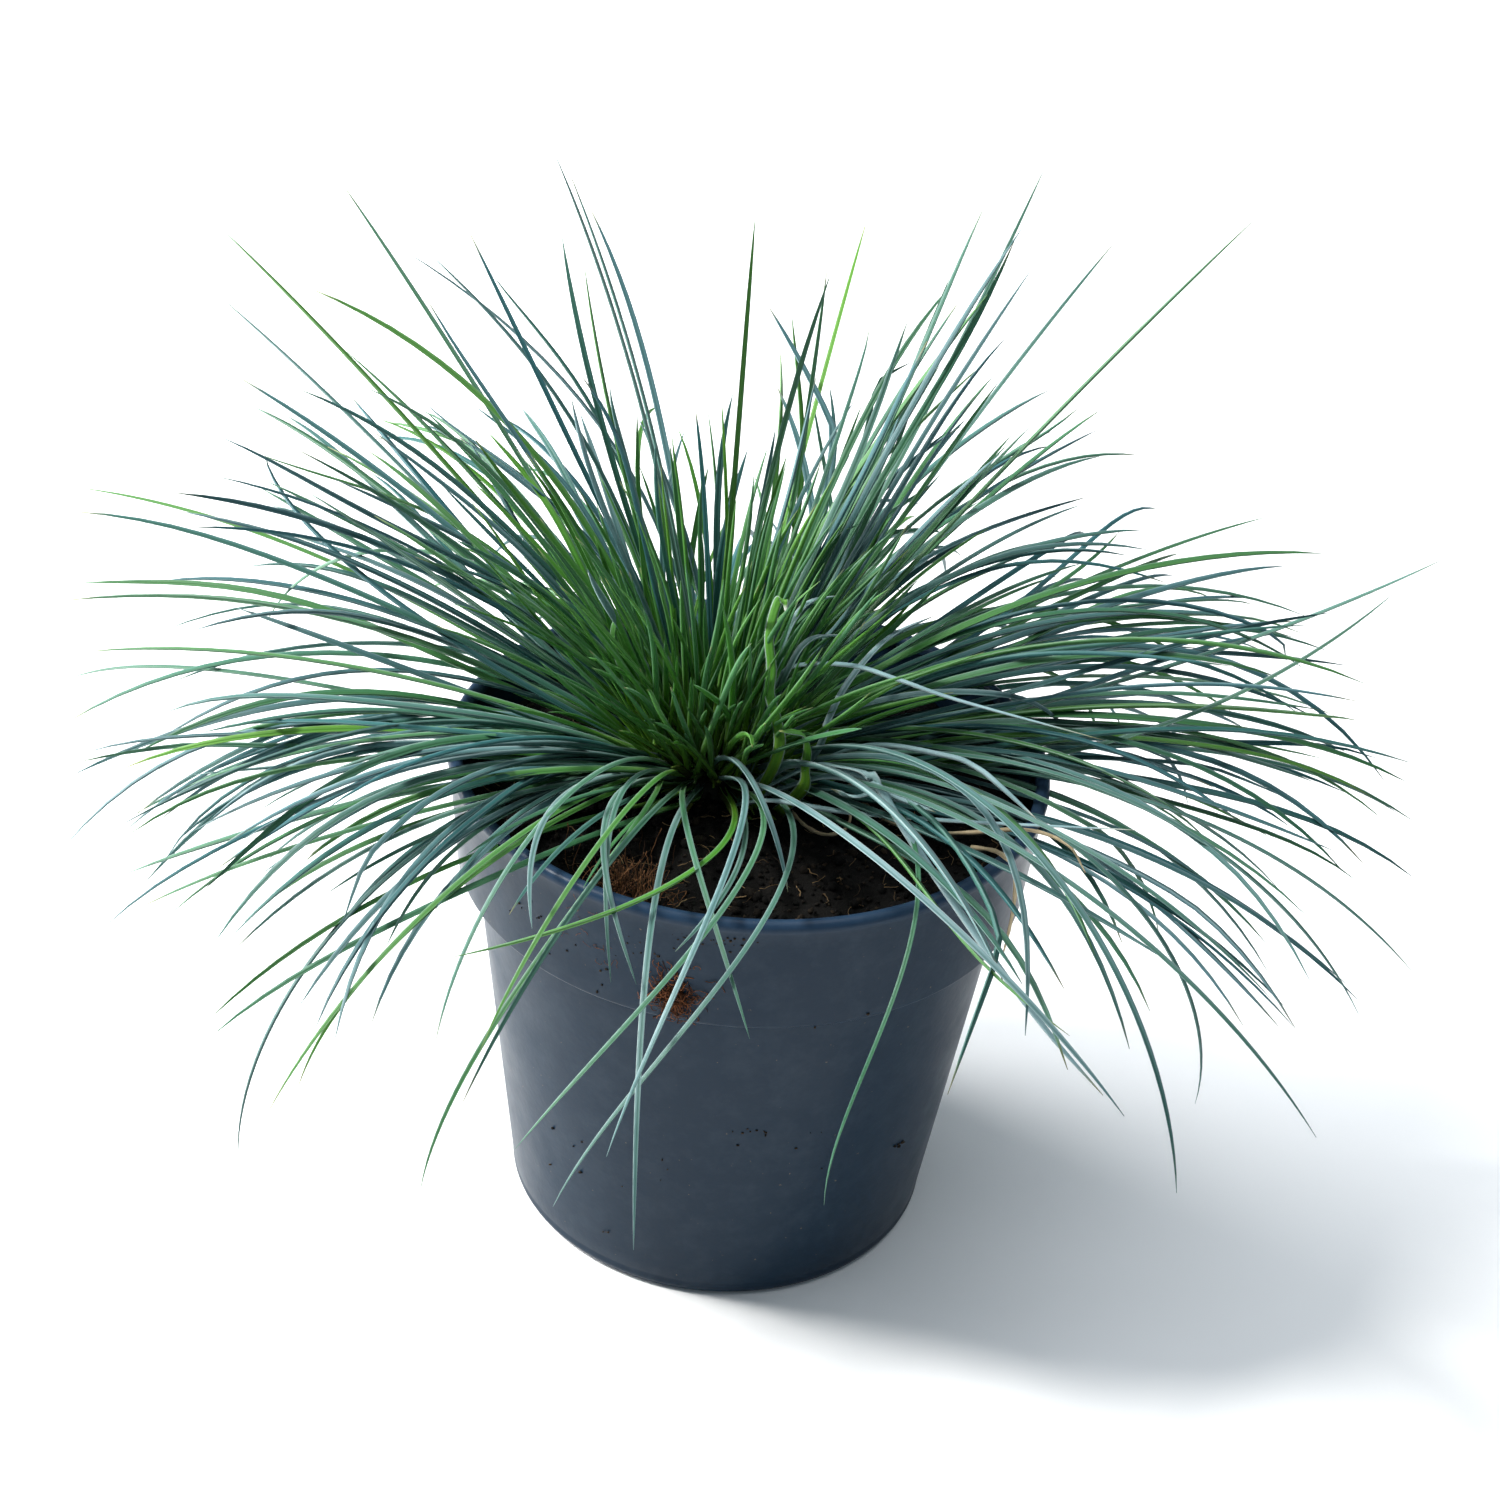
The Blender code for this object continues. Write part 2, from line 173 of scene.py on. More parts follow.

# Leaves with a shape of their own: the points they pass through in mm, the heading their face looks
# to, the roll at their root and at their tip, width in mm, greenness, bloom with its painted highlight,
# how flat they lie open and whether the tip is bleached.
SHAPED_LEAVES = (
    (((1, -12, 107), (5, -20, 123), (6, -21, 130), (5, -20.5, 135), (3, -20, 141.5), (3, -19, 146.5),
      (2, -18, 153.5), (3, -17, 160.5), (4.3, -18.5, 162), (4.8, -19.5, 160)),
     -128, -30, 8, 2.7, 1, 1.6, 1, 1),
    (((7, -14, 108), (11.7, -23, 121), (11.7, -24.5, 127), (11.7, -25, 132.5), (9.8, -26, 136),
      (5.5, -27.5, 137)),
     -132, -10, 20, 2.9, 1, 1.6, 1, 0),
    (((1, -12, 112), (7, -20, 124), (13, -25, 128), (19, -30, 131), (24.5, -34, 132.5), (26, -36, 131),
      (22, -37, 129), (17, -35, 129)),
     -120, 0, -60, 2.5, 0.1, 1.6, 0.7, 0),
    (((-4, -3, 110), (1, -4, 128), (4, -5, 135), (8, -8, 141), (19, -16, 147), (29, -22, 148),
      (41, -28, 148), (69, -40, 149)),
     -30, 0, 30, 1.6, 0, 1.5, 0.2, 0),
    (((6, -9, 110), (14, -12, 123), (16, -10, 130), (19, -6, 136), (24, 0, 141), (29, 6, 143), (37, 13, 144)),
     -110, 0, 30, 1.6, 0, 1.6, 0.2, 0),
    (((-2, -8, 113), (4, -12, 139), (5, -11, 147.5), (7, -10, 153.5), (10, -8, 156.5), (16, -6, 157.5)),
     -125, 0, 30, 1.8, 0.1, 1.4, 0.3, 0),
    (((0, -8, 113), (5, -12, 137), (7, -12, 143.5), (9, -11, 147.5), (12, -10, 149.5), (18, -8, 149.5)),
     -125, 0, 30, 1.7, 0.1, 1.4, 0.3, 0),
    (((-14, -6, 108), (-17, -8, 119), (-23, -9, 130), (-27, -9, 135), (-30, -9, 144), (-29.5, -9, 149),
      (-28, -10, 148)),
     -90, 0, 60, 1.8, 0.8, 0.6, 0.6, 0),
    (((3, -14, 112), (16, -26, 126), (25, -34, 130), (31, -37, 129.5), (38, -41, 129.5)),
     -60, 0, 10, 1.9, 0, 1.6, 0.3, 0),
    (((-2, -14, 109), (5.5, -26, 119), (22, -32, 121.7), (36, -38, 125.7), (50, -42, 128.7), (78, -45, 132)),
     -80, 0, 10, 1.6, 0, 1.6, 0.3, 0.4),
    (((1, -14, 112), (13, -24, 127), (19, -29, 130), (24.7, -33, 131), (27.1, -38, 131.6), (31.8, -48, 129.7),
      (41.2, -58, 121.8), (51.6, -68, 113.1), (63, -75, 102.6), (74, -80, 93)),
     -60, -10, 20, 2.2, 0, 1.5, 0.5, 0),
    (((8, -6, 112), (24, -16, 128), (40, -25, 133), (46, -30, 134), (51, -35, 133), (58, -41, 130)),
     -60, 0, 10, 1.7, 0, 1.6, 0.3, 0.4),
)

# Sheaves: heading, lift, length mm and droop of the middle blade, as in part.py, then how much higher
# its fine blades leave, how much more they droop, and their number.
TILLERS = {
    "low": (
        (-43, 27, 128, 66, -5, 0, 10),
        (-8, 23, 142, 60, -7, -14, 40),
        (8, 24, 142, 46, -10, 0, 27),
        (33, 24, 142, 46, -2, 20, 16),
        (58, 25, 136, 52, 0, 10, 9),
        (82, 26, 128, 66, 0, 0, 9),
        (106, 26, 130, 60, 0, 0, 9),
        (130, 26, 136, 50, 0, 0, 9),
        (157, 25, 138, 50, 0, -14, 12),
        (181, 25, 132, 48, -3, -6, 18),
        (204, 25, 126, 56, -6, 0, 19),
        (222, 37, 124, 88, -10, -10, 23),
    ),
    "middle": (
        (0, 40, 138, 36, 0, 30, 8),
        (27, 40, 140, 34, 0, 10, 8),
        (56, 44, 130, 24, 0, -6, 34),
        (122, 42, 130, 30, 0, -10, 10),
        (160, 42, 136, 30, 0, -12, 17),
        (196, 44, 118, 40, 0, -6, 10),
    ),
    "upper": (
        (46, 66, 120, 10, 0, 0, 31),
        (112, 68, 96, 12, 0, 0, 8),
        (176, 66, 118, 16, 0, -6, 10),
    ),
}

# For each tier: how far tufts stray in heading and in lift, and how much shorter a blade may be.
SPREADS = {"low": (8.0, 7.0), "middle": (8.0, 7.0), "upper": (14.0, 8.0)}
SHORTEST = {"low": 0.3, "middle": 0.55, "upper": 0.6}

SINGLE_THIN = 0.84  # a fine blade against the width of its solid
SINGLE_STEPS = 44
SHEAF_STEPS = 20
YOUNG_STEPS = 14
ROUTE_STEPS = 8  # between two points of a smooth route
ROOT_STEPS = 2  # rings of a blade hidden in the crown

Blade = namedtuple(
    "Blade",
    "rooted heading lift length droop turn width fresh pale wave twist seed out kink kink_at",
    defaults=(1.0, 0.0, 1.0),
)


# ---- meshes and objects


def new_object(name, vertices, faces, material):
    """A smooth-shaded mesh object of the model, linked to the scene."""
    mesh = bpy.data.meshes.new(name)
    mesh.from_pydata([tuple(map(float, vertex)) for vertex in vertices], [], faces)
    mesh.materials.append(material)
    mesh.shade_smooth()
    thing = bpy.data.objects.new(name, mesh)
    bpy.context.scene.collection.objects.link(thing)
    return thing


def keep(thing, slot, *nodes):
    """Hangs a piece of the model on the one body and hides the CAD nodes it stands for."""
    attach(thing, "root")
    if nodes:
        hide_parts(*nodes)


class Shape:
    """Vertices, faces and per-vertex numbers of many small closed bodies, joined into one mesh."""

    def __init__(self, *names):
        self.vertices = []
        self.faces = []
        self.count = 0
        self.values = {name: [] for name in names}

    def add(self, points, faces, **numbers):
        start = self.count
        self.vertices.append(np.asarray(points, dtype=float))
        self.faces.extend([tuple(start + corner for corner in face) for face in faces])
        self.count += len(points)
        for name, store in self.values.items():
            store.append(np.broadcast_to(np.asarray(numbers[name], dtype=float), (len(points),)))

    def build(self, name, material):
        thing = new_object(name, np.concatenate(self.vertices), self.faces, material)
        for key, store in self.values.items():
            attribute = thing.data.attributes.new(key, "FLOAT", "POINT")
            attribute.data.foreach_set("value", np.concatenate(store).astype(np.float32))
        return thing


@lru_cache
def tube_faces(rings, sides):
    """Faces of a closed tube of that many rings, with its two ends capped."""
    faces = []
    for ring in range(rings - 1):
        for side in range(sides):
            after = (side + 1) % sides
            low, high = ring * sides, (ring + 1) * sides
            faces.append((low + side, low + after, high + after, high + side))
    faces.append(tuple(reversed(range(sides))))
    faces.append(tuple((rings - 1) * sides + side for side in range(sides)))
    return faces


def points_and_faces(shape):
    """Empties a bmesh into arrays."""
    points = np.array([vertex.co[:] for vertex in shape.verts])
    faces = [tuple(vertex.index for vertex in face.verts) for face in shape.faces]
    shape.free()
    return points, faces


def ring_point(radius, angle, height):
    return radius * math.cos(angle), radius * math.sin(angle), height


def unit(vectors):
    return vectors / np.linalg.norm(vectors, axis=-1, keepdims=True)


def tangents(route):
    """The direction of a route at each of its points."""
    ahead = np.vstack([route[1:], route[-1:]])
    behind = np.vstack([route[:1], route[:-1]])
    return unit(ahead - behind)


def swept(route, sides, section, widths, rolls):
    """Points of a section swept along a route. sides holds the section's sideways direction at each
    point, and rolls turns the section about the route, in radians."""
    along = tangents(route)
    across = unit(sides - along * np.sum(sides * along, axis=1, keepdims=True))
    over = np.cross(across, along)
    cos, sin = np.cos(rolls)[:, None], np.sin(rolls)[:, None]
    across, over = cos * across + sin * over, cos * over - sin * across
    x = (section[:, 0][None, :] * widths[:, None])[..., None]
    y = (section[:, 1][None, :] * widths[:, None])[..., None]
    return (route[:, None, :] + x * across[:, None, :] + y * over[:, None, :]).reshape(-1, 3)


def add_tube(shape, route, radii, sides, tint, **numbers):
    """A closed round tube along a route. numbers has a value for each ring, or one for them all."""
    rings = len(route)
    turn = np.arange(sides) * (-2 * math.pi / sides)
    section = np.stack([np.cos(turn), np.sin(turn)], axis=1)
    along = tangents(route)
    guide = np.where(np.abs(along[:, 2:3]) > 0.9, [[1.0, 0.0, 0.0]], [[0.0, 0.0, 1.0]])
    points = swept(route, np.cross(along, guide), section, np.asarray(radii), np.zeros(rings))
    spread = {name: np.repeat(np.broadcast_to(value, rings), sides) for name, value in numbers.items()}
    shape.add(points, tube_faces(rings, sides), tint=tint, **spread)


def smooth_route(points, steps):
    """A Catmull-Rom curve through points, with that many steps between each pair."""
    points = np.array(points, dtype=float)
    padded = np.vstack([2 * points[0] - points[1], points, 2 * points[-1] - points[-2]])
    route = []
    for index in range(len(points) - 1):
        a, b, c, d = padded[index : index + 4]
        for share in np.arange(steps) / steps:
            straight = 2 * b + (c - a) * share
            square = (2 * a - 5 * b + 4 * c - d) * share**2
            cube = (3 * b - a - 3 * c + d) * share**3
            route.append(0.5 * (straight + square + cube))
    return np.array(route + [points[-1]])


# ---- the grass


def direction(heading, lift):
    turn, rise = np.radians(heading), np.radians(lift)
    return np.stack([np.cos(turn) * np.cos(rise), np.sin(turn) * np.cos(rise), np.sin(rise)], axis=-1)


def root_point(rooted, lift, out=1.0):
    """Where a blade leaves the crown: low blades root at its edge, upright ones near its top. out
    moves the root in or out of the ring that the single blades keep to."""
    reach = direction(rooted, min(max(lift, 5), 85)) * (ROOTING_RADIUS, ROOTING_RADIUS, ROOTING_RISE)
    return np.array([CROWN_X, CROWN_Y, SOIL_LEVEL + ROOTING_GAP]) + reach * (out, out, 1.0)


def blade_route(blade, steps):
    """The points of a blade and its heading at each, from inside the crown to the tip."""
    along = (np.arange(steps) + 0.5) / steps
    phase = blade.seed * 6.283
    sway = blade.wave * np.sin(phase + 5.0 * along) * along
    nod = 0.6 * blade.wave * np.sin(2.0 * phase + 6.5 * along) * along
    bent = blade.kink * np.clip((along - blade.kink_at) * 12.0, 0.0, 1.0)
    heading = blade.heading + blade.turn * along + sway + bent
    lift = blade.lift - blade.droop * along**DROOP_POWER + nod - 0.5 * np.abs(bent)
    start = root_point(blade.rooted, blade.lift, blade.out)
    points = start + np.cumsum(direction(heading, lift) * blade.length / steps, axis=0)
    centre = np.array([CROWN_X, CROWN_Y, SOIL_LEVEL])
    inner = [centre + share * (start - centre) for share in (0.35, 0.7)]
    headings = np.concatenate([np.full(ROOT_STEPS + 1, heading[0]), heading])
    return np.vstack([inner, start, points]), headings


def blade_widths(along):
    """Width along a blade as a share of its full width: narrow at the root, fine at the tip."""
    base = 0.8 + 0.3 * np.exp(-along / 0.05) + 0.2 * np.minimum(along / 0.2, 1.0)
    return base * (1.0 - 0.2 * along**2 - 0.73 * along**10)


# Sections of a folded and of a flat blade, one unit wide: margin, groove, groove, margin, flank, keel,
# flank. EDGE is 1 at the margins, INNER is 1 in the groove, and ACROSS runs round the section.
FOLDED = np.array(
    [(-0.5, 0.3), (-0.1, -0.06), (0.1, -0.06), (0.5, 0.3), (0.32, -0.12), (0.0, -0.38), (-0.32, -0.12)]
)
OPEN = np.array(
    [(-0.5, 0.06), (-0.1, -0.01), (0.1, -0.01), (0.5, 0.06), (0.3, -0.04), (0.0, -0.12), (-0.3, -0.04)]
)
# EDGE places the painted highlight on the margins; INNER with EDGE places the painted shade in the groove.
EDGE = np.array([1.0, 0.0, 0.0, 1.0, 0.55, 0.0, 0.55])
INNER = np.array([0.5, 1.0, 1.0, 0.5, 0.0, 0.0, 0.0])
ACROSS = np.array([0.0, 0.2, 0.3, 0.5, 0.65, 0.75, 0.85])
BLADE_NUMBERS = ("along", "share", "edge", "inner", "across", "tint", "fresh", "pale", "bleach")


def lay_blade(shape, route, sides, share, length, width, rolls, **looks):
    """One closed blade along a route, with the numbers its material reads."""
    flat = looks.pop("flat")
    section = flat * OPEN + (1.0 - flat) * FOLDED
    points = swept(route, sides, section, width * blade_widths(share), rolls)
    rings, corners = len(route), len(section)
    shape.add(
        points,
        tube_faces(rings, corners),
        along=np.repeat(share * length, corners),
        share=np.repeat(share, corners),
        edge=np.tile(EDGE, rings),
        inner=np.tile(INNER, rings),
        across=np.tile(ACROSS, rings),
        **looks,
    )


def add_blade(shape, blade, steps):
    """A blade given by its heading, lift, droop and the rest."""
    route, headings = blade_route(blade, steps)
    share = np.concatenate([np.zeros(ROOT_STEPS), np.linspace(0.0, 1.0, steps + 1)])
    sides = np.stack([np.sin(np.radians(headings)), -np.cos(np.radians(headings)), 0 * headings], axis=1)
    rolls = np.radians(blade.twist * (share - 0.3) + 40.0 * (blade.seed - 0.5))
    looks = {"tint": blade.seed, "fresh": blade.fresh, "pale": blade.pale, "bleach": 0.0, "flat": 0.0}
    lay_blade(shape, route, sides, share, blade.length, blade.width, rolls, **looks)


def single_blade(row, dice):
    rooted, heading, lift, length, droop, turn, width, fresh, pale = row
    return Blade(
        rooted, heading, lift, length * MM, droop, turn, SINGLE_THIN * width * MM, fresh, pale,
        wave=0.0, twist=dice.uniform(-50, 50), seed=dice.random(),
    )


def build_single_blades(material):
    """Each blade that has a solid of its own becomes a fine one, and the loose ones are joined."""
    dice = random.Random(SEEDS["single"])
    for name, *row in LEAVES:
        shape = Shape(*BLADE_NUMBERS)
        add_blade(shape, single_blade(row, dice), SINGLE_STEPS)
        keep(shape.build("blade_" + name, material), "leaf", "leaf_" + name)
    shape = Shape(*BLADE_NUMBERS)
    for row in LOOSE_BLADES:
        add_blade(shape, single_blade(row, dice), SINGLE_STEPS)
    keep(shape.build("blades_loose", material), "leaf")


def build_shaped_leaves(material):
    """The folded, hooked and arching leaves in front of the crown."""
    shape = Shape(*BLADE_NUMBERS)
    for points, facing, root_roll, tip_roll, width, fresh, pale, flat, bleached in SHAPED_LEAVES:
        route = smooth_route(np.array(points) * MM, ROUTE_STEPS)
        share = np.linspace(0.0, 1.0, len(route))
        length = np.linalg.norm(np.diff(route, axis=0), axis=1).sum()
        turn = math.radians(facing + 90)
        sides = np.tile([math.cos(turn), math.sin(turn), 0.0], (len(route), 1))
        rolls = np.radians(root_roll + (tip_roll - root_roll) * share)
        bleach = bleached * np.clip((share - 0.93) / 0.05, 0.0, 1.0)
        lay_blade(
            shape, route, sides, share, length, width * MM, rolls,
            tint=0.9, fresh=fresh, pale=pale, flat=flat, bleach=np.repeat(bleach, len(OPEN)),
        )
    keep(shape.build("blades_shaped", material), "leaf")


def tuft_blades(tier, middle, dice):
    """A tuft of a few blades that lean alike, strayed at random from the middle blade of its sheaf."""
    heading, lift, length, droop, rise, sag, _ = middle
    heading_spread, lift_spread = SPREADS[tier]
    tuft_heading = heading + dice.gauss(0, heading_spread)
    tuft_lift = lift + rise + dice.gauss(0, lift_spread)
    tuft_rooted = tuft_heading + dice.gauss(0, 22)
    tuft_droop = (droop + sag) * dice.uniform(0.55, 1.25)
    tuft_turn = dice.gauss(0, 22)
    tuft_length = length * (1.0 - 0.5 * SHORTEST[tier] * dice.random() ** 1.5)
    tuft_out = dice.uniform(0.6, 1.2)
    greenness = dice.gauss(0.19, 0.3)
    made = []
    for _ in range(dice.randint(2, 6)):
        blade = Blade(
            rooted=tuft_rooted + dice.gauss(0, 6),
            heading=tuft_heading + dice.gauss(0, 5),
            lift=max(tuft_lift + dice.gauss(0, 5), 11),
            length=tuft_length * (1.04 - SHORTEST[tier] * dice.random() ** 2.0) * MM,
            droop=tuft_droop * dice.uniform(0.8, 1.2),
            turn=tuft_turn + dice.gauss(0, 18),
            width=dice.uniform(1.15, 1.8) * MM,
            fresh=min(max(greenness + dice.gauss(0, 0.32), 0.0), 1.0),
            pale=min(max(dice.gauss(0.22, 0.25), 0.0), 1.0),
            wave=dice.gauss(0, 8),
            twist=dice.gauss(0, 60),
            seed=dice.random(),
            out=tuft_out + dice.uniform(-0.12, 0.12),
            kink=dice.gauss(0, 30) if dice.random() < 0.16 else 0.0,
            kink_at=dice.uniform(0.45, 0.9),
        )
        made.append(blade)
    return made


def build_sheaves(material):
    """Each tiller becomes its sheaf of blades."""
    for tier, rows in TILLERS.items():
        for index, row in enumerate(rows):
            dice = random.Random(SHEAF_SEEDS[tier] + index)
            shape = Shape(*BLADE_NUMBERS)
            blades = []
            while len(blades) < row[-1]:
                blades.extend(tuft_blades(tier, row, dice))
            for blade in blades[: row[-1]]:
                add_blade(shape, blade, SHEAF_STEPS)
            name = f"sheaf_{tier}_{index + 1}"
            keep(shape.build(name, material), "leaf", f"tiller_{tier}_{index + 1}")


def young_blade(dice):
    """A short fresh blade, upright in the middle of the crown and leaning out round its edge."""
    rooted = dice.uniform(-160, -20) if dice.random() < 0.4 else dice.uniform(0, 360)
    lift = 86 - 44 * dice.random() ** 1.3
    spread = 1.0 / max(math.cos(math.radians(lift)), 0.25)
    return Blade(
        rooted=rooted,
        heading=rooted + dice.gauss(0, 30),
        lift=lift,
        length=dice.uniform(18, 70) * MM,
        droop=dice.uniform(-5, 24),
        turn=dice.gauss(0, 16),
        width=dice.uniform(0.9, 1.5) * MM,
        fresh=dice.uniform(0.45, 1.0),
        pale=0.1,
        wave=dice.gauss(0, 6),
        twist=dice.gauss(0, 60),
        seed=dice.random(),
        out=spread * math.sqrt(dice.random()),
    )


CORE_RADIUS = 14.0 * MM
CORE_RISE = 5.0 * MM
CORE_ROUGHNESS = 1.4 * MM
SHEATHS = 170
SHEATH_STEPS = 5
YOUNG_BLADES = 270
STEM_SIDES = 6


def crown_core():
    """Points and faces of the low dark lump that the blades grow from."""
    core = bmesh.new()
    bmesh.ops.create_uvsphere(core, u_segments=48, v_segments=24, radius=1.0)
    ball, faces = points_and_faces(core)
    roughness = [CORE_ROUGHNESS * noise.noise(Vector(point) * 6.0) for point in ball]
    points = ball * (CORE_RADIUS, CORE_RADIUS, CORE_RISE) + (CROWN_X, CROWN_Y, SOIL_LEVEL + 0.5 * MM)
    points[:, 2] += roughness
    return points, faces


def add_sheath(shape, dice):
    """The short dead sheath of an old leaf, at the foot of the blades."""
    heading = dice.uniform(0, 360)
    lift = dice.uniform(5, 80)
    start = root_point(heading, lift, dice.uniform(0.7, 1.25))
    centre = np.array([CROWN_X, CROWN_Y, SOIL_LEVEL - 1.0 * MM])
    length = dice.uniform(4, 12) * MM
    bend = dice.uniform(-20, 40)
    route = [centre + 0.6 * (start - centre), start]
    for step in range(SHEATH_STEPS):
        lean = lift - bend * step / SHEATH_STEPS
        route.append(route[-1] + direction(heading + dice.gauss(0, 5), lean) * length / SHEATH_STEPS)
    share = np.linspace(0.0, 1.0, len(route))
    radii = dice.uniform(0.7, 1.1) * MM * (1.0 - 0.8 * share**2)
    add_tube(shape, np.array(route), radii, STEM_SIDES, tint=dice.random(), share=share)


def build_crown(material, blade_material):
    """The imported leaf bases: a low dark core with old sheaths, and young blades that fill its middle."""
    dice = random.Random(SEEDS["crown"])
    shape = Shape("share", "tint")
    shape.add(*crown_core(), share=0.0, tint=0.0)
    for _ in range(SHEATHS):
        add_sheath(shape, dice)
    keep(shape.build("crown_core", material), "leaf_base", "crown")
    shape = Shape(*BLADE_NUMBERS)
    for _ in range(YOUNG_BLADES):
        add_blade(shape, young_blade(dice), YOUNG_STEPS)
    keep(shape.build("blades_young", blade_material), "leaf")


# ---- the pot and the soil


def arc(centre_x, centre_z, radius, start_degrees, end_degrees, steps):
    """Points on a circular arc in the XZ plane, both ends included."""
    angles = np.radians(np.linspace(start_degrees, end_degrees, steps + 1))
    return [(centre_x + radius * math.cos(a), centre_z + radius * math.sin(a)) for a in angles]


def between(start, end, steps):
    """Evenly spaced points from start up to, and without, end."""
    return [tuple(np.array(start) + (np.array(end) - np.array(start)) * i / steps) for i in range(steps)]


def pot_profile():
    """From the middle of the inside floor up the inner wall, over the lip and down the outside."""
    lip_centre = RIM_RADIUS - LIP_RADIUS
    lip_height = POT_HEIGHT - LIP_RADIUS
    inside = [
        (0.0, FLOOR_TOP),
        (BASE_RADIUS - 2.2 * WALL, FLOOR_TOP),
        (BASE_RADIUS - WALL, FLOOR_TOP + WALL),
        (BODY_TOP_RADIUS - WALL, STEP_HEIGHT + 0.5 * WALL),
        (COLLAR_FOOT_RADIUS - WALL, STEP_HEIGHT + 1.3 * WALL),
        (RIM_RADIUS - 1.25 * WALL, lip_height - 2.4 * MM),
        (lip_centre - LIP_RADIUS, lip_height - 1.0 * MM),
    ]
    lip = arc(lip_centre, lip_height, LIP_RADIUS, 180, -20, 12)
    collar_top = (RIM_RADIUS - 0.5 * MM, lip_height - 1.6 * MM)
    collar_foot = (COLLAR_FOOT_RADIUS, STEP_HEIGHT + 1.2 * MM)
    collar = between(collar_top, collar_foot, 8)
    shoulder = arc(COLLAR_FOOT_RADIUS - 1.0 * MM, STEP_HEIGHT + 1.0 * MM, 1.0 * MM, 0, -90, 5)
    under_collar = [
        (BODY_TOP_RADIUS + 0.6 * MM, STEP_HEIGHT - 0.2 * MM),
        (BODY_TOP_RADIUS, STEP_HEIGHT - 0.9 * MM),
    ]
    corner_top = (BASE_RADIUS + 0.05 * MM, SIDE_BAND_HEIGHT + 0.4 * MM)
    body = between((BODY_TOP_RADIUS, STEP_HEIGHT - 1.6 * MM), corner_top, 24)
    band = [corner_top, (BASE_RADIUS - 0.12 * MM, SIDE_BAND_HEIGHT - 0.2 * MM)]
    corner = arc(BASE_RADIUS - BASE_ROUNDING, BASE_ROUNDING, BASE_ROUNDING, 0, -90, 8)
    underside = [
        (DRAIN_RING_OUTER + 1.5 * MM, 0.0),
        (DRAIN_RING_OUTER, DRAIN_RECESS),
        (DRAIN_RING_INNER, DRAIN_RECESS),
        (DRAIN_RING_INNER - 1.5 * MM, 0.0),
        (0.0, 0.0),
    ]
    return inside + lip + collar + shoulder + under_collar + body + band + corner + underside


def turned_faces(rings, segments):
    """Outward faces of a solid of revolution: a first point, its rings, and a last point."""
    faces = []
    last = 1 + (rings - 1) * segments
    for i in range(segments):
        j = (i + 1) % segments
        faces.append((0, 1 + i, 1 + j))
        faces.append((last + j, last + i, last + segments))
        for ring in range(rings - 1):
            low, high = 1 + ring * segments, 1 + (ring + 1) * segments
            faces.append((low + i, high + i, high + j, low + j))
    return faces


def turned(profile, segments):
    """Points and faces of a solid of revolution whose profile starts and ends on the axis."""
    angles = np.arange(segments) * 2 * math.pi / segments
    points = [(0.0, 0.0, profile[0][1])]
    for x, z in profile[1:-1]:
        points.extend(ring_point(x, angle, z) for angle in angles)
    points.append((0.0, 0.0, profile[-1][1]))
    return points, turned_faces(len(profile) - 2, segments)


def drain_cutter(angle):
    """A cylinder through the floor, where a drainage hole goes."""
    hole = bmesh.new()
    sizes = {"radius1": DRAIN_HOLE_RADIUS, "radius2": DRAIN_HOLE_RADIUS, "depth": 4 * FLOOR_TOP}
    bmesh.ops.create_cone(hole, cap_ends=True, segments=32, **sizes)
    bmesh.ops.translate(hole, vec=ring_point(DRAIN_HOLE_CIRCLE, angle, 0.0), verts=hole.verts)
    mesh = bpy.data.meshes.new("drain_cutter")
    hole.to_mesh(mesh)
    hole.free()
    cutter = bpy.data.objects.new("drain_cutter", mesh)
    bpy.context.scene.collection.objects.link(cutter)
    return cutter


def build_pot(material):
    """The moulded pot, with its drainage holes cut through the floor."""
    points, faces = turned(pot_profile(), POT_SEGMENTS)
    pot = new_object("nursery_pot", points, faces, material)
    cutters = [drain_cutter(2 * math.pi * index / DRAIN_HOLES) for index in range(DRAIN_HOLES)]
    for cutter in cutters:
        cut = pot.modifiers.new("drain", "BOOLEAN")
        cut.operation = "DIFFERENCE"
        cut.solver = "EXACT"
        cut.object = cutter
    evaluated = pot.evaluated_get(bpy.context.evaluated_depsgraph_get())
    drained = bpy.data.meshes.new_from_object(evaluated)
    pot.modifiers.clear()
    pot.data = drained
    for cutter in cutters:
        bpy.data.objects.remove(cutter, do_unlink=True)
    pot.data.shade_smooth()
    pot.data.set_sharp_from_angle(angle=math.radians(40))
    keep(pot, "pot_plastic", "pot")


def soil_height(x, y):
    """Height of the soil's surface: a slight heap round the crown, hollows and lumps."""
    radius = math.hypot(x, y)
    away = math.hypot(x - CROWN_X, y - CROWN_Y)
    heap = 2.2 * MM * math.exp(-((away / (24 * MM)) ** 2))
    sink = -2.4 * MM * (radius / RIM_RADIUS) ** 3
    place = Vector((x, y, 0.0)) * 1000
    lumps = 1.5 * MM * noise.noise(place * 0.085) + 0.9 * MM * noise.noise(place * 0.25)
    crumbs = 0.55 * MM * noise.noise(place * 0.8) + 0.3 * MM * noise.noise(place * 1.9)
    return SOIL_LEVEL - 0.6 * MM + heap + sink + lumps + crumbs


def soil_profile_below():
    """The soil's side and bottom, from under its edge down to the middle of the pot's floor."""
    clear = WALL + 0.4 * MM
    return [
        (COLLAR_FOOT_RADIUS - clear, STEP_HEIGHT + 1.3 * WALL + 0.3 * MM),
        (BODY_TOP_RADIUS - clear, STEP_HEIGHT + 0.5 * WALL),
        (BASE_RADIUS - clear, FLOOR_TOP + WALL + 0.3 * MM),
        (BASE_RADIUS - clear - WALL, FLOOR_TOP + 0.3 * MM),
    ]


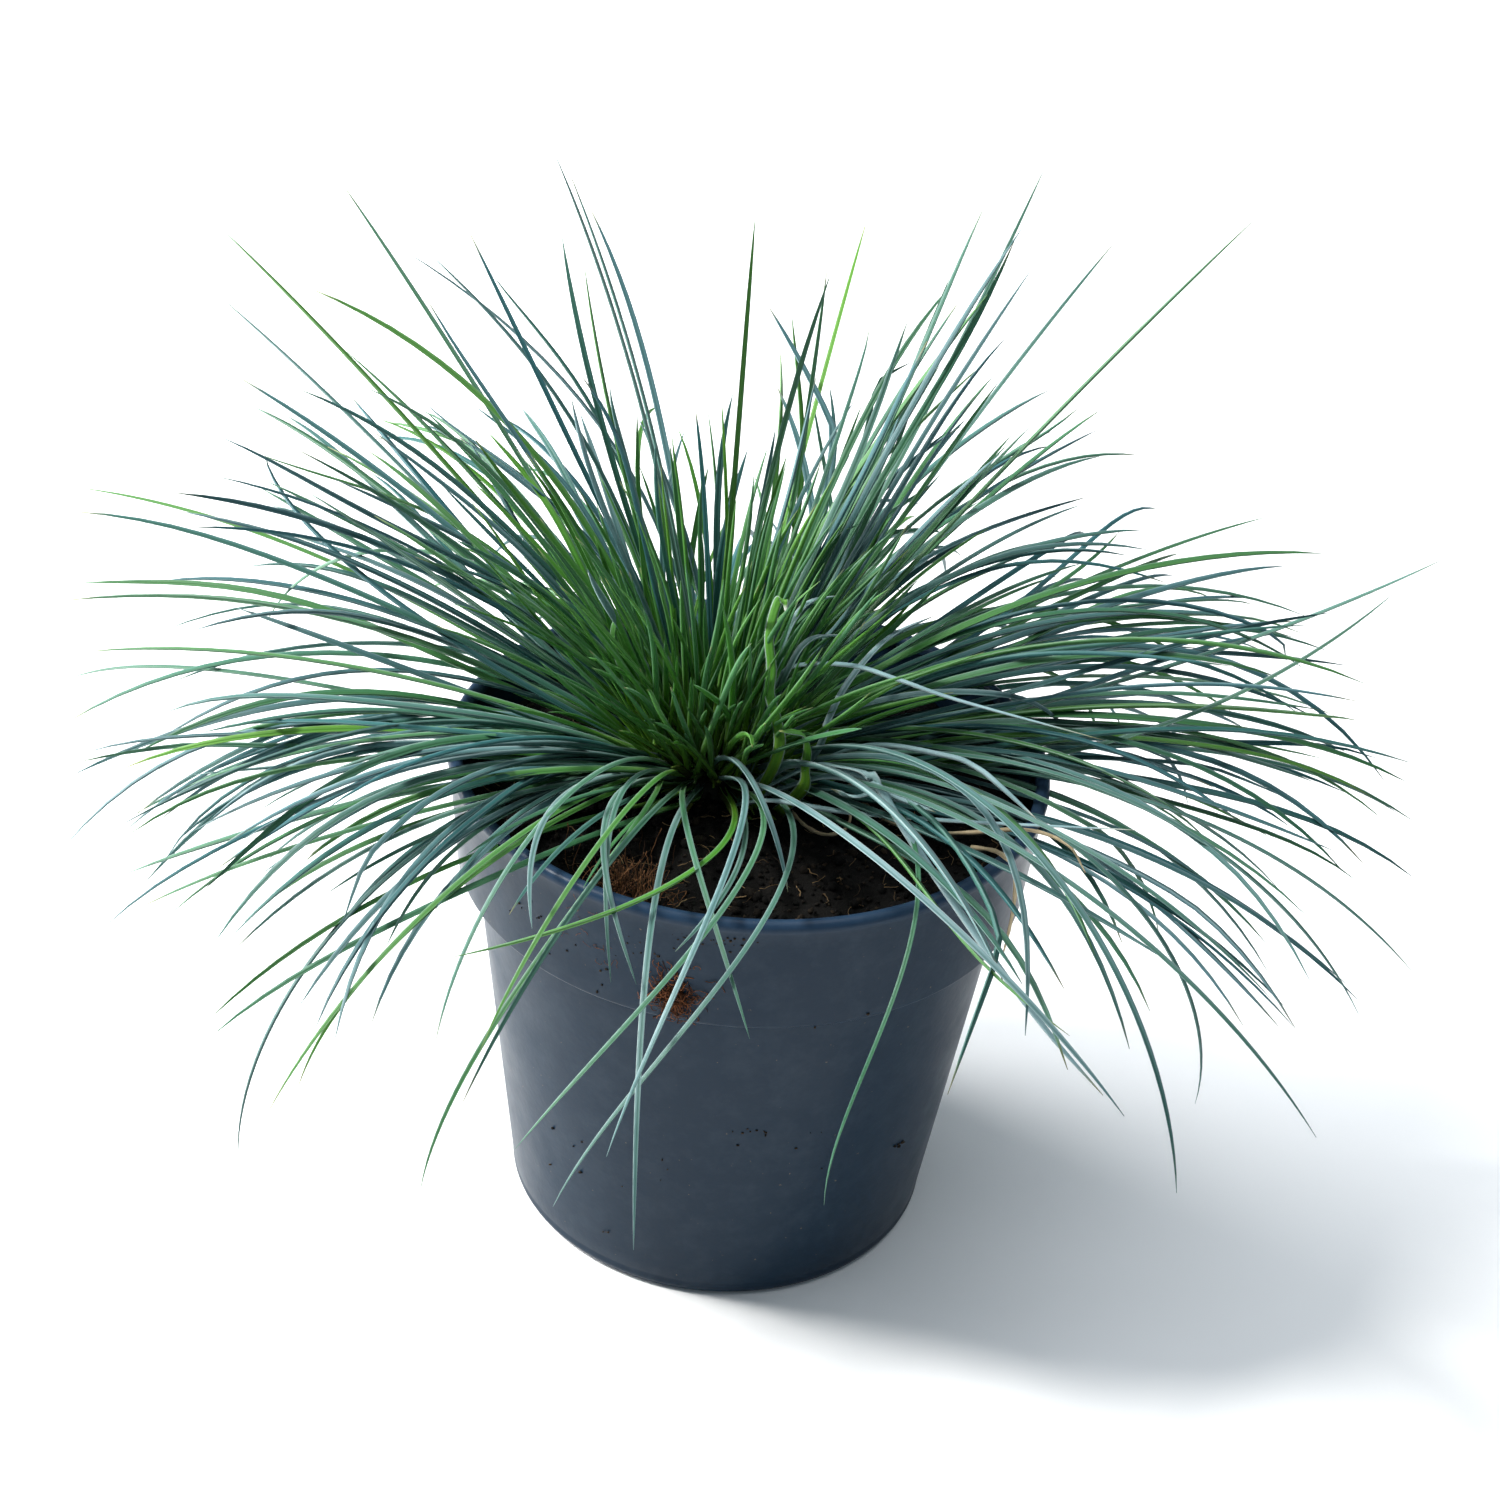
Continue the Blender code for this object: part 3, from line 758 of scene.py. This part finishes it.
# What the soil and the fibres have as their kind, for their materials to read
PEAT = 0.0
LOOSE = 1.0
ON_WALL = 1.4
IN_TUFT = 1.7
IN_SMEAR = 2.0

SOIL_RINGS = 90
SOIL_SPOKES = 240
CRUMBS = 3600


def build_soil(material):
    """The peat mix as one closed body with a crumbly top, and loose crumbs that lie on it."""
    edge_radius = COLLAR_FOOT_RADIUS - WALL - 0.15 * MM
    angles = [2 * math.pi * spoke / SOIL_SPOKES for spoke in range(SOIL_SPOKES)]
    points = [(0.0, 0.0, soil_height(0.0, 0.0))]
    for ring in range(1, SOIL_RINGS + 1):
        radius = edge_radius * ring / SOIL_RINGS
        for angle in angles:
            x, y = radius * math.cos(angle), radius * math.sin(angle)
            points.append((x, y, soil_height(x, y)))
    below = soil_profile_below()
    for radius, height in below:
        points.extend(ring_point(radius, angle, height) for angle in angles)
    points.append((0.0, 0.0, below[-1][1]))
    shape = Shape("tint", "kind")
    shape.add(points, turned_faces(SOIL_RINGS + len(below), SOIL_SPOKES), tint=0.3, kind=PEAT)
    add_crumbs(shape)
    keep(shape.build("peat_mix", material), "soil", "potting_soil")


def crumb_ball():
    """Points and faces of the coarse ball that every crumb is made of."""
    shape = bmesh.new()
    bmesh.ops.create_icosphere(shape, subdivisions=1, radius=1.0)
    return points_and_faces(shape)


def soil_spot(dice, reach):
    """A random place on the soil, that far from the pot's axis at most."""
    radius = reach * math.sqrt(dice.random())
    angle = dice.uniform(0, 2 * math.pi)
    return radius * math.cos(angle), radius * math.sin(angle)


def add_crumbs(shape):
    """Loose crumbs of all sizes on the soil."""
    dice = random.Random(SEEDS["crumbs"])
    points, faces = crumb_ball()
    for _ in range(CRUMBS):
        x, y = soil_spot(dice, COLLAR_FOOT_RADIUS - WALL - 1.5 * MM)
        size = dice.uniform(0.25, 0.6) * MM * (1 + 2.2 * dice.random() ** 6)
        squash = np.array([dice.uniform(0.6, 1.4), dice.uniform(0.6, 1.2), dice.uniform(0.4, 0.9)]) * size
        angle = dice.uniform(0, 6.28)
        axis = Vector((dice.random(), dice.random(), dice.random() + 0.1))
        turn = np.array(Matrix.Rotation(angle, 3, axis))
        start = Vector((x, y, 0)) * 4000
        bumps = np.array([noise.noise(Vector(point) * 1.7 + start) for point in points])
        body = (points * (1.0 + 0.35 * bumps[:, None]) * squash) @ turn.T
        place = np.array([x, y, soil_height(x, y) + 0.25 * size])
        shape.add(body + place, faces, tint=dice.random(), kind=LOOSE)


FIBRES = 420
TUFT_FIBRES = 230
SMEAR_FIBRES = 190
STRAY_FIBRES = 14
STRAY_HEADING = -116.0
FIBRE_SIDES = 4


def fibre_route(dice, centre, reach, height, bend, steps=7, rise=10):
    """A short crooked fibre round a point: a random walk whose direction drifts."""
    heading = dice.uniform(0, 360)
    lift = rise + dice.uniform(-35, 35)
    length = reach * dice.uniform(0.5, 1.3)
    stray = [dice.gauss(0, 0.4), dice.gauss(0, 0.4), dice.uniform(0, 0.5) * height / reach]
    route = [centre + np.array(stray) * reach]
    for _ in range(steps):
        heading += dice.gauss(0, bend)
        lift = rise + 0.75 * (lift - rise) + dice.gauss(0, 0.5 * bend)
        route.append(route[-1] + direction(heading, lift) * length / steps)
    return np.array(route)


def add_fibre(shape, route, radius, tint, kind):
    add_tube(shape, route, np.full(len(route), radius), FIBRE_SIDES, tint=tint, kind=kind)


def lie_on_soil(route, gap):
    """Lifts a route to that far over the soil where it is lower."""
    route[:, 2] = [max(z, soil_height(x, y) + gap) for x, y, z in route]


def inside_rim(route, gap):
    """Whether a route keeps that far from the outside of the rim."""
    return np.hypot(route[:, 0], route[:, 1]).max() <= RIM_RADIUS - gap


def build_fibres(material):
    """Loose peat and coir fibres all over the soil."""
    dice = random.Random(SEEDS["fibres"])
    shape = Shape("tint", "kind")
    for _ in range(FIBRES):
        x, y = soil_spot(dice, COLLAR_FOOT_RADIUS - 5.0 * MM)
        centre = np.array([x, y, soil_height(x, y) + 0.3 * MM])
        route = fibre_route(dice, centre, dice.uniform(2.0, 7.0) * MM, 1.0 * MM, 22)
        lie_on_soil(route, 0.1 * MM)
        if inside_rim(route, 3.4 * MM):
            add_fibre(shape, route, dice.uniform(0.06, 0.16) * MM, dice.random(), LOOSE)
    keep(shape.build("soil_fibres", material), "coir")


def middle_of(node):
    low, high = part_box(node)
    return 0.5 * (np.array(low) + np.array(high))


def build_tuft(material, dice):
    """The fibre tuft on the soil by the rim."""
    centre = middle_of("coir_tuft")
    shape = Shape("tint", "kind")
    for _ in range(TUFT_FIBRES):
        spread = 1.0 if dice.random() < 0.6 else 2.2
        start = centre + spread * np.array([dice.gauss(0, 1.9), dice.gauss(0, 1.4), 0.0]) * MM
        start[2] = soil_height(start[0], start[1]) + dice.uniform(0.0, 3.0) * MM
        reach = dice.uniform(4.0, 10.0) * MM
        route = fibre_route(dice, start, reach, 1.5 * MM, 26, steps=8, rise=dice.uniform(10, 88))
        lie_on_soil(route, 0.15 * MM)
        if inside_rim(route, 3.6 * MM):
            add_fibre(shape, route, dice.uniform(0.05, 0.12) * MM, dice.random(), IN_TUFT)
    keep(shape.build("coir_tuft_fibres", material), "coir", "coir_tuft")


def wall_radius(height):
    """Radius of the pot's outside at a height."""
    if height > STEP_HEIGHT:
        share = (height - STEP_HEIGHT) / COLLAR_HEIGHT
        return COLLAR_FOOT_RADIUS + share * (RIM_RADIUS - 0.4 * MM - COLLAR_FOOT_RADIUS)
    return BASE_RADIUS + (BODY_TOP_RADIUS - BASE_RADIUS) * height / STEP_HEIGHT


WALL_FIBRE_POINTS = 9


def lay_wall_fibre(shape, dice, around, height, length, lift_off, thickness=0.09 * MM):
    """A crooked fibre stuck to the outside of the pot, standing off it a little in the middle."""
    lean = dice.uniform(0, 360)
    route = []
    for step in range(WALL_FIBRE_POINTS):
        off = 0.12 * MM + lift_off * math.sin(math.pi * step / (WALL_FIBRE_POINTS - 1))
        radius = wall_radius(height) + off
        route.append(ring_point(radius, math.radians(around), height))
        lean += dice.gauss(0, 34)
        around += math.degrees(length / WALL_FIBRE_POINTS * math.cos(math.radians(lean)) / radius)
        height += length / WALL_FIBRE_POINTS * math.sin(math.radians(lean))
    add_fibre(shape, np.array(route), thickness * dice.uniform(0.6, 1.3), dice.random(), IN_SMEAR)


def build_smear(material, dice):
    """The smear of fibres stuck to the outside of the collar."""
    centre = middle_of("coir_smear")
    heading = math.degrees(math.atan2(centre[1], centre[0]))
    shape = Shape("tint", "kind")
    for _ in range(SMEAR_FIBRES):
        spread = 1.0 if dice.random() < 0.85 else 1.9
        around = heading + spread * dice.gauss(0, 1.6)
        height = centre[2] + spread * dice.gauss(0, 2.2) * MM
        length = dice.uniform(2.0, 7.0) * MM
        lay_wall_fibre(shape, dice, around, height, length, abs(dice.gauss(0, 0.8)) * MM)
    keep(shape.build("coir_smear_fibres", material), "coir", "coir_smear")


def build_stray_fibres(material, dice):
    """A few single fibres stuck to the collar, to the left of the smear."""
    shape = Shape("tint", "kind")
    for _ in range(STRAY_FIBRES):
        around = STRAY_HEADING + dice.gauss(0, 6.0)
        height = POT_HEIGHT - dice.uniform(4.0, 20.0) * MM
        length = dice.uniform(1.5, 5.0) * MM
        lay_wall_fibre(shape, dice, around, height, length, 0.2 * MM, thickness=0.05 * MM)
    keep(shape.build("stray_fibres", material), "coir")


def build_coir(material):
    """All that the coconut fibre left on and beside the soil."""
    dice = random.Random(SEEDS["coir"])
    build_tuft(material, dice)
    build_smear(material, dice)
    build_stray_fibres(material, dice)


# Dirt on the outside of the pot: heading, height in mm, how far it spreads in mm, and how many crumbs.
WALL_DIRT = (
    (-97, 110.5, 2.2, 16),
    (-90, 110.5, 3.4, 26),
    (-106, 105.5, 4.0, 9),
    (-112, 98, 9.0, 10),
    (-130, 101.5, 4.0, 7),
    (-37.5, 96, 1.6, 9),
    (-82, 53, 2.6, 8),
    (-38.5, 36, 1.5, 9),
    (-117.5, 12.5, 0.8, 3),
    (-82, 45, 14.0, 6),
    (-118, 30, 16.0, 8),
    (-62, 88, 6.0, 4),
)
HIGHEST_DIRT = 111.5  # mm, just under the lip


def build_wall_dirt(material):
    """Crumbs of soil that cling under the lip and here and there on the pot."""
    dice = random.Random(SEEDS["dirt"])
    points, faces = crumb_ball()
    shape = Shape("tint", "kind")
    for heading, height, spread, count in WALL_DIRT:
        for _ in range(count):
            up = min(max(height + 0.35 * spread * dice.gauss(0, 1), 2.0), HIGHEST_DIRT) * MM
            radius = wall_radius(up)
            turn = math.radians(heading) + spread * MM * dice.gauss(0, 1) / radius
            size = dice.uniform(0.14, 0.40) * MM
            place = np.array(ring_point(radius, turn, up))
            squash = [dice.uniform(0.7, 1.4), dice.uniform(0.7, 1.4), dice.uniform(0.5, 1.1)]
            body = points * (np.array(squash) * size) + place
            shape.add(body, faces, tint=dice.uniform(0.6, 1.1), kind=ON_WALL)
    keep(shape.build("wall_dirt", material), "soil")


# Dead stems, as in part.py: x, y and height over the soil, in mm.
RUNNER = ((10, -11.5, 0), (13, -17, 0.4), (17, -20, 0.6), (21, -18, 0.5), (22.5, -12.5, 0.8), (20.5, -7, 1))
LYING = (
    (22, 0, 0.5), (29, -12, 1), (38, -19.5, 3), (48, -24, 7), (58, -28, 11.5), (66, -33.5, 12.5), (70, -38, 9)
)
HANGING = ((47, -31, 8), (52, -34.5, 9.8), (55.5, -37, 8), (56.5, -38, 2), (56.5, -38, -6), (56, -37.5, -14))


STEMS = (("dry_runner", RUNNER, 0.42), ("dry_leaf_lying", LYING, 0.5), ("dry_leaf_hanging", HANGING, 0.5))
STEM_LIFT = 1.4  # mm that the middle of a stem lies over its points


def build_dry_stems(material):
    """Dead stems: thin, crinkled and tapering."""
    for node, places, radius in STEMS:
        points = [(x * MM, y * MM, SOIL_LEVEL + (STEM_LIFT + z) * MM) for x, y, z in places]
        route = smooth_route(points, ROUTE_STEPS)
        share = np.linspace(0.0, 1.0, len(route))
        crinkle = 1.0 + 0.2 * np.sin(40.0 * share) * np.sin(17.0 * share)
        radii = radius * MM * crinkle * (1.0 - 0.7 * share**4)
        shape = Shape("tint", "share")
        add_tube(shape, route, radii, STEM_SIDES, tint=0.5, share=share)
        keep(shape.build(node + "_fine", material), "dry_leaf", node)


# ---- materials


# Colours in linear RGB. A pair runs from its dark shade to its pale one.
BLADE_BLUE = ((0.004, 0.047, 0.052), (0.022, 0.104, 0.122))
BLADE_GREEN = ((0.024, 0.125, 0.006), (0.1, 0.26, 0.014))
FOOT_GREEN = (0.052, 0.215, 0.008)
FOOT_YELLOW = (0.2, 0.37, 0.008)
STREAK = (0.1, 0.22, 0.22)
# Pale waxy bloom, partly a painted highlight of sky light on the pale blades
BLOOM_AND_HIGHLIGHT = (0.31, 0.44, 0.46)
# Painted shade in the groove of a folded blade, dark blue-green and dark grass-green
GROOVE_SHADE = ((0.01, 0.06, 0.05), (0.05, 0.2, 0.012))
# Painted highlight along the margins of a folded blade
MARGIN_HIGHLIGHT = (0.4, 0.49, 0.49)
DRY_TIP = (0.22, 0.2, 0.09)
BLEACHED = (0.85, 0.86, 0.82)
SHEATH_FOOT = ((0.012, 0.012, 0.004), (0.1, 0.07, 0.025))
SHEATH_TIP = ((0.02, 0.05, 0.008), (0.13, 0.2, 0.02))
PLASTIC = ((0.0045, 0.017, 0.035), (0.006, 0.019, 0.037))
# Painted highlight on the upward-facing lip
LIP_HIGHLIGHT = (0.018, 0.04, 0.078)
DUST = (0.08, 0.11, 0.14)
SPECKS = (0.14, 0.11, 0.07)
# Peat and crumbs darkened partly as painted shade of the grass over the soil
SOIL_WITH_SHADE = ((0.0006, 0.0006, 0.0005), (0.0042, 0.0034, 0.0024))
CRUMB_WITH_SHADE = ((0.0008, 0.0008, 0.0006), (0.045, 0.03, 0.017))
PEAT_FIBRE = ((0.012, 0.007, 0.004), (0.3, 0.2, 0.1))
COIR = ((0.022, 0.008, 0.004), (0.19, 0.065, 0.022))
STRAW = ((0.26, 0.19, 0.1), (0.55, 0.45, 0.29))
FLOOR = ((0.9, 0.9, 0.9), (0.93, 0.93, 0.93))


class Paint:
    """A material with one Principled shader, and short calls for its nodes."""

    def __init__(self, name, roughness, specular=0.5):
        self.material = bpy.data.materials.new(name)
        self.material.use_nodes = True
        self.tree = self.material.node_tree
        self.shader = self.tree.nodes["Principled BSDF"]
        self.shader.inputs["Roughness"].default_value = roughness
        self.shader.inputs["Specular IOR Level"].default_value = specular

    def node(self, kind, **settings):
        made = self.tree.nodes.new(kind)
        for key, value in settings.items():
            setattr(made, key, value)
        return made

    def feed(self, socket, value):
        if isinstance(value, bpy.types.NodeSocket):
            self.tree.links.new(value, socket)
        else:
            socket.default_value = value

    def number(self, name):
        return self.node("ShaderNodeAttribute", attribute_name=name).outputs["Fac"]

    def math(self, operation, a, b=0.0, c=0.0):
        made = self.node("ShaderNodeMath", operation=operation)
        for socket, value in zip(made.inputs, (a, b, c)):
            self.feed(socket, value)
        return made.outputs[0]

    def times(self, a, b):
        return self.math("MULTIPLY", a, b)

    def span(self, value, low, high, new_low=0.0, new_high=1.0):
        """Maps low..high onto new_low..new_high, held at both ends."""
        made = self.node("ShaderNodeMapRange", clamp=True)
        for socket, setting in zip(made.inputs[:5], (value, low, high, new_low, new_high)):
            self.feed(socket, setting)
        return made.outputs[0]

    def mix(self, share, a, b):
        made = self.node("ShaderNodeMix", data_type="RGBA")
        self.feed(made.inputs["Factor"], share)
        self.feed(made.inputs[6], rgba(a))
        self.feed(made.inputs[7], rgba(b))
        return made.outputs[2]

    def place(self):
        return self.node("ShaderNodeTexCoord").outputs["Object"]

    def join(self, x, y, z):
        made = self.node("ShaderNodeCombineXYZ")
        for socket, value in zip(made.inputs, (x, y, z)):
            self.feed(socket, value)
        return made.outputs[0]

    def noise(self, scale, detail=3.0, vector=None, roughness=0.5):
        made = self.node("ShaderNodeTexNoise")
        made.inputs["Scale"].default_value = scale
        made.inputs["Detail"].default_value = detail
        made.inputs["Roughness"].default_value = roughness
        self.feed(made.inputs["Vector"], vector or self.place())
        return made.outputs["Fac"]

    def bump(self, height, strength, distance):
        made = self.node("ShaderNodeBump")
        made.inputs["Strength"].default_value = strength
        made.inputs["Distance"].default_value = distance
        self.feed(made.inputs["Height"], height)
        self.feed(self.shader.inputs["Normal"], made.outputs["Normal"])

    def colour(self, value):
        self.feed(self.shader.inputs["Base Color"], value)

    def roughness(self, value):
        self.feed(self.shader.inputs["Roughness"], value)


def rgba(value):
    return (*value, 1.0) if isinstance(value, tuple) and len(value) == 3 else value


def blade_paint():
    """Blue-green under a pale waxy bloom that is partly a painted highlight, greener when young, yellow-green
    where it leaves the crown, with a painted highlight on the margins and painted shade in the groove.
    """
    paint = Paint("fescue_blade", 0.5, 0.22)
    along, share, edge, inner, across, tint, fresh, pale, bleach = map(paint.number, BLADE_NUMBERS)
    body = paint.mix(fresh, paint.mix(tint, *BLADE_BLUE), paint.mix(tint, *BLADE_GREEN))
    young = paint.math("MULTIPLY_ADD", fresh, 0.90, 0.08)
    body = paint.mix(paint.times(paint.span(along, 0.010, 0.080, 0.9, 0.0), young), body, FOOT_GREEN)
    body = paint.mix(paint.times(paint.span(along, 0.002, 0.026, 0.9, 0.0), young), body, FOOT_YELLOW)
    grain = paint.join(paint.times(across, 34.0), paint.times(along, 45.0), paint.times(tint, 90.0))
    streaks = paint.noise(1.0, 2.0, grain)
    body = paint.mix(paint.span(streaks, 0.4, 0.75, 0.0, 0.22), body, STREAK)
    # Bloom in patches on pale blades: partly waxy bloom, partly painted highlight
    patches = paint.noise(1.0, 2.0, paint.join(paint.times(tint, 70.0), paint.times(along, 60.0), 0.0))
    bloom_and_highlight = paint.times(paint.span(patches, 0.3, 0.7, 0.25, 0.5), pale)
    bloom_and_highlight = paint.times(bloom_and_highlight, paint.math("SUBTRACT", 1.0, paint.times(fresh, 0.95)))
    body = paint.mix(bloom_and_highlight, body, BLOOM_AND_HIGHLIGHT)
    # Painted shade down the groove of the fold
    groove_shade = paint.times(paint.times(inner, paint.span(edge, 0.5, 0.0)), 0.5)
    body = paint.mix(groove_shade, body, paint.mix(fresh, *GROOVE_SHADE))
    # Painted highlight along the margins, stronger on pale blades
    margin_highlight = paint.times(paint.span(edge, 0.7, 1.0), paint.math("MULTIPLY_ADD", pale, 0.5, 0.12))
    body = paint.mix(margin_highlight, body, MARGIN_HIGHLIGHT)
    tip = paint.times(paint.span(share, 0.94, 1.0), paint.span(tint, 0.5, 0.9))
    body = paint.mix(tip, body, DRY_TIP)
    paint.colour(paint.mix(bleach, body, BLEACHED))
    paint.roughness(paint.span(streaks, 0.3, 0.7, 0.42, 0.6))
    return paint.material


def sheath_paint():
    """Brown old sheaths that go green towards their tips."""
    paint = Paint("leaf_sheath", 0.6, 0.25)
    tint = paint.number("tint")
    colours = (paint.mix(tint, *SHEATH_FOOT), paint.mix(tint, *SHEATH_TIP))
    paint.colour(paint.mix(paint.number("share"), *colours))
    paint.bump(paint.noise(2500.0, 2.0), 0.3, 0.0002)
    return paint.material


def plastic_paint():
    """Satin slate-blue plastic, dusty and scuffed, with a painted highlight that makes it paler round the
    lip.
    """
    paint = Paint("pot_plastic_scuffed", 0.38, 0.14)
    body = paint.mix(paint.span(paint.noise(28.0, 4.0), 0.35, 0.65), *PLASTIC)
    height = paint.node("ShaderNodeSeparateXYZ")
    paint.feed(height.inputs[0], paint.place())
    # Painted highlight: paler towards the top of the lip
    lip = paint.span(height.outputs["Z"], POT_HEIGHT - 2.6 * MM, POT_HEIGHT - 0.8 * MM, 0.0, 0.8)
    body = paint.mix(lip, body, LIP_HIGHLIGHT)
    dust = paint.noise(140.0, 5.0, roughness=0.7)
    body = paint.mix(paint.span(dust, 0.45, 0.85, 0.0, 0.14), body, DUST)
    paint.colour(paint.mix(paint.span(paint.noise(900.0, 2.0), 0.74, 0.80, 0.0, 0.8), body, SPECKS))
    paint.roughness(paint.span(paint.noise(60.0, 5.0, roughness=0.65), 0.3, 0.7, 0.30, 0.44))
    paint.bump(paint.noise(700.0, 4.0), 0.1, 0.0003)
    return paint.material


def soil_paint():
    """Damp peat, kept nearly black partly as painted shade of the grass over it, with a few pale crumbs."""
    paint = Paint("damp_peat", 0.85, 0.2)
    body = paint.mix(paint.noise(420.0, 5.0, roughness=0.7), *SOIL_WITH_SHADE)
    crumb = paint.mix(paint.math("POWER", paint.number("tint"), 5.0), *CRUMB_WITH_SHADE)
    paint.colour(paint.mix(paint.times(paint.number("kind"), 0.7), body, crumb))
    paint.bump(paint.noise(1600.0, 5.0, roughness=0.7), 0.9, 0.0006)
    return paint.material


def fibre_paint():
    """Straw-brown peat fibres and red-brown coconut fibres."""
    paint = Paint("coconut_fibre", 0.8, 0.2)
    tint = paint.number("tint")
    coconut = paint.span(paint.number("kind"), LOOSE, IN_SMEAR)
    paint.colour(paint.mix(coconut, paint.mix(tint, *PEAT_FIBRE), paint.mix(tint, *COIR)))
    paint.bump(paint.noise(3000.0, 2.0), 0.4, 0.0001)
    return paint.material


def dry_paint():
    """Bleached straw."""
    paint = Paint("dry_straw", 0.65, 0.3)
    paint.colour(paint.mix(paint.noise(500.0, 4.0), *STRAW))
    paint.bump(paint.noise(2500.0, 3.0), 0.5, 0.0002)
    return paint.material


def floor_paint():
    paint = Paint("pale_floor", 0.9, 0.1)
    paint.colour(paint.mix(paint.noise(6.0, 3.0), *FLOOR))
    return paint.material


# ---- camera, floor and light


CAMERA_DISTANCE_BACK = 473.0 * MM
CAMERA_HEIGHT = 416.1 * MM
CAMERA_TILT = 32.54  # below the horizon
CAMERA_ROLL = 4.86
CAMERA_LENS_MM = 62.4
CAMERA_SENSOR_MM = 36.0

FLOOR_HALF = 6.0

WORLD_COLOUR = (0.72, 0.87, 1.0, 1.0)
WORLD_STRENGTH = 0.27

# Lights: name, place, the point it shines at, size, power in watts and colour.
LIGHTS = (
    ("key", (-1.15, 0.0, 1.4), (0.0, 0.0, 0.12), 0.3, 44.0, (1.0, 0.98, 0.94)),
    ("side", (-1.5, 0.5, 0.55), (0.0, 0.0, 0.08), 1.0, 56.0, (0.98, 0.98, 0.98)),
    ("top", (0.3, 0.2, 1.8), (0.0, 0.0, 0.1), 1.6, 20.0, (0.94, 0.97, 1.0)),
)


def build_camera():
    """The camera looks down at the front of the pot, and leans a little to one side."""
    data = bpy.data.cameras.new("camera")
    data.lens = CAMERA_LENS_MM
    data.sensor_width = CAMERA_SENSOR_MM
    camera = bpy.data.objects.new("camera", data)
    bpy.context.scene.collection.objects.link(camera)
    place = Matrix.Translation((0.0, -CAMERA_DISTANCE_BACK, CAMERA_HEIGHT))
    tilt = Matrix.Rotation(math.radians(90.0 - CAMERA_TILT), 4, "X")
    roll = Matrix.Rotation(math.radians(CAMERA_ROLL), 4, "Z")
    camera.matrix_world = place @ tilt @ roll
    bpy.context.scene.camera = camera


def build_floor(material):
    signs = ((-1, -1), (1, -1), (1, 1), (-1, 1))
    corners = [(x * FLOOR_HALF, y * FLOOR_HALF, 0.0) for x, y in signs]
    new_object("floor", corners, [(0, 1, 2, 3)], material)


def add_light(name, place, target, size, power, colour):
    data = bpy.data.lights.new(name, "AREA")
    data.shape = "DISK"
    data.size = size
    data.energy = power
    data.color = colour
    light = bpy.data.objects.new(name, data)
    bpy.context.scene.collection.objects.link(light)
    aim = (Vector(target) - Vector(place)).to_track_quat("-Z", "Y")
    light.matrix_world = Matrix.Translation(place) @ aim.to_matrix().to_4x4()


def build_lights():
    """A key high on the left, a broad light low on the left, a soft top light and a dim world."""
    world = bpy.data.worlds.new("world")
    world.use_nodes = True
    background = world.node_tree.nodes["Background"]
    background.inputs["Color"].default_value = WORLD_COLOUR
    background.inputs["Strength"].default_value = WORLD_STRENGTH
    bpy.context.scene.world = world
    bpy.context.scene.view_settings.view_transform = "Standard"
    for settings in LIGHTS:
        add_light(*settings)


build_camera()
build_lights()
build_floor(floor_paint())
build_pot(plastic_paint())
peat = soil_paint()
build_soil(peat)
build_wall_dirt(peat)
fibre = fibre_paint()
build_fibres(fibre)
build_coir(fibre)
blade = blade_paint()
build_crown(sheath_paint(), blade)
build_single_blades(blade)
build_shaped_leaves(blade)
build_sheaves(blade)
build_dry_stems(dry_paint())
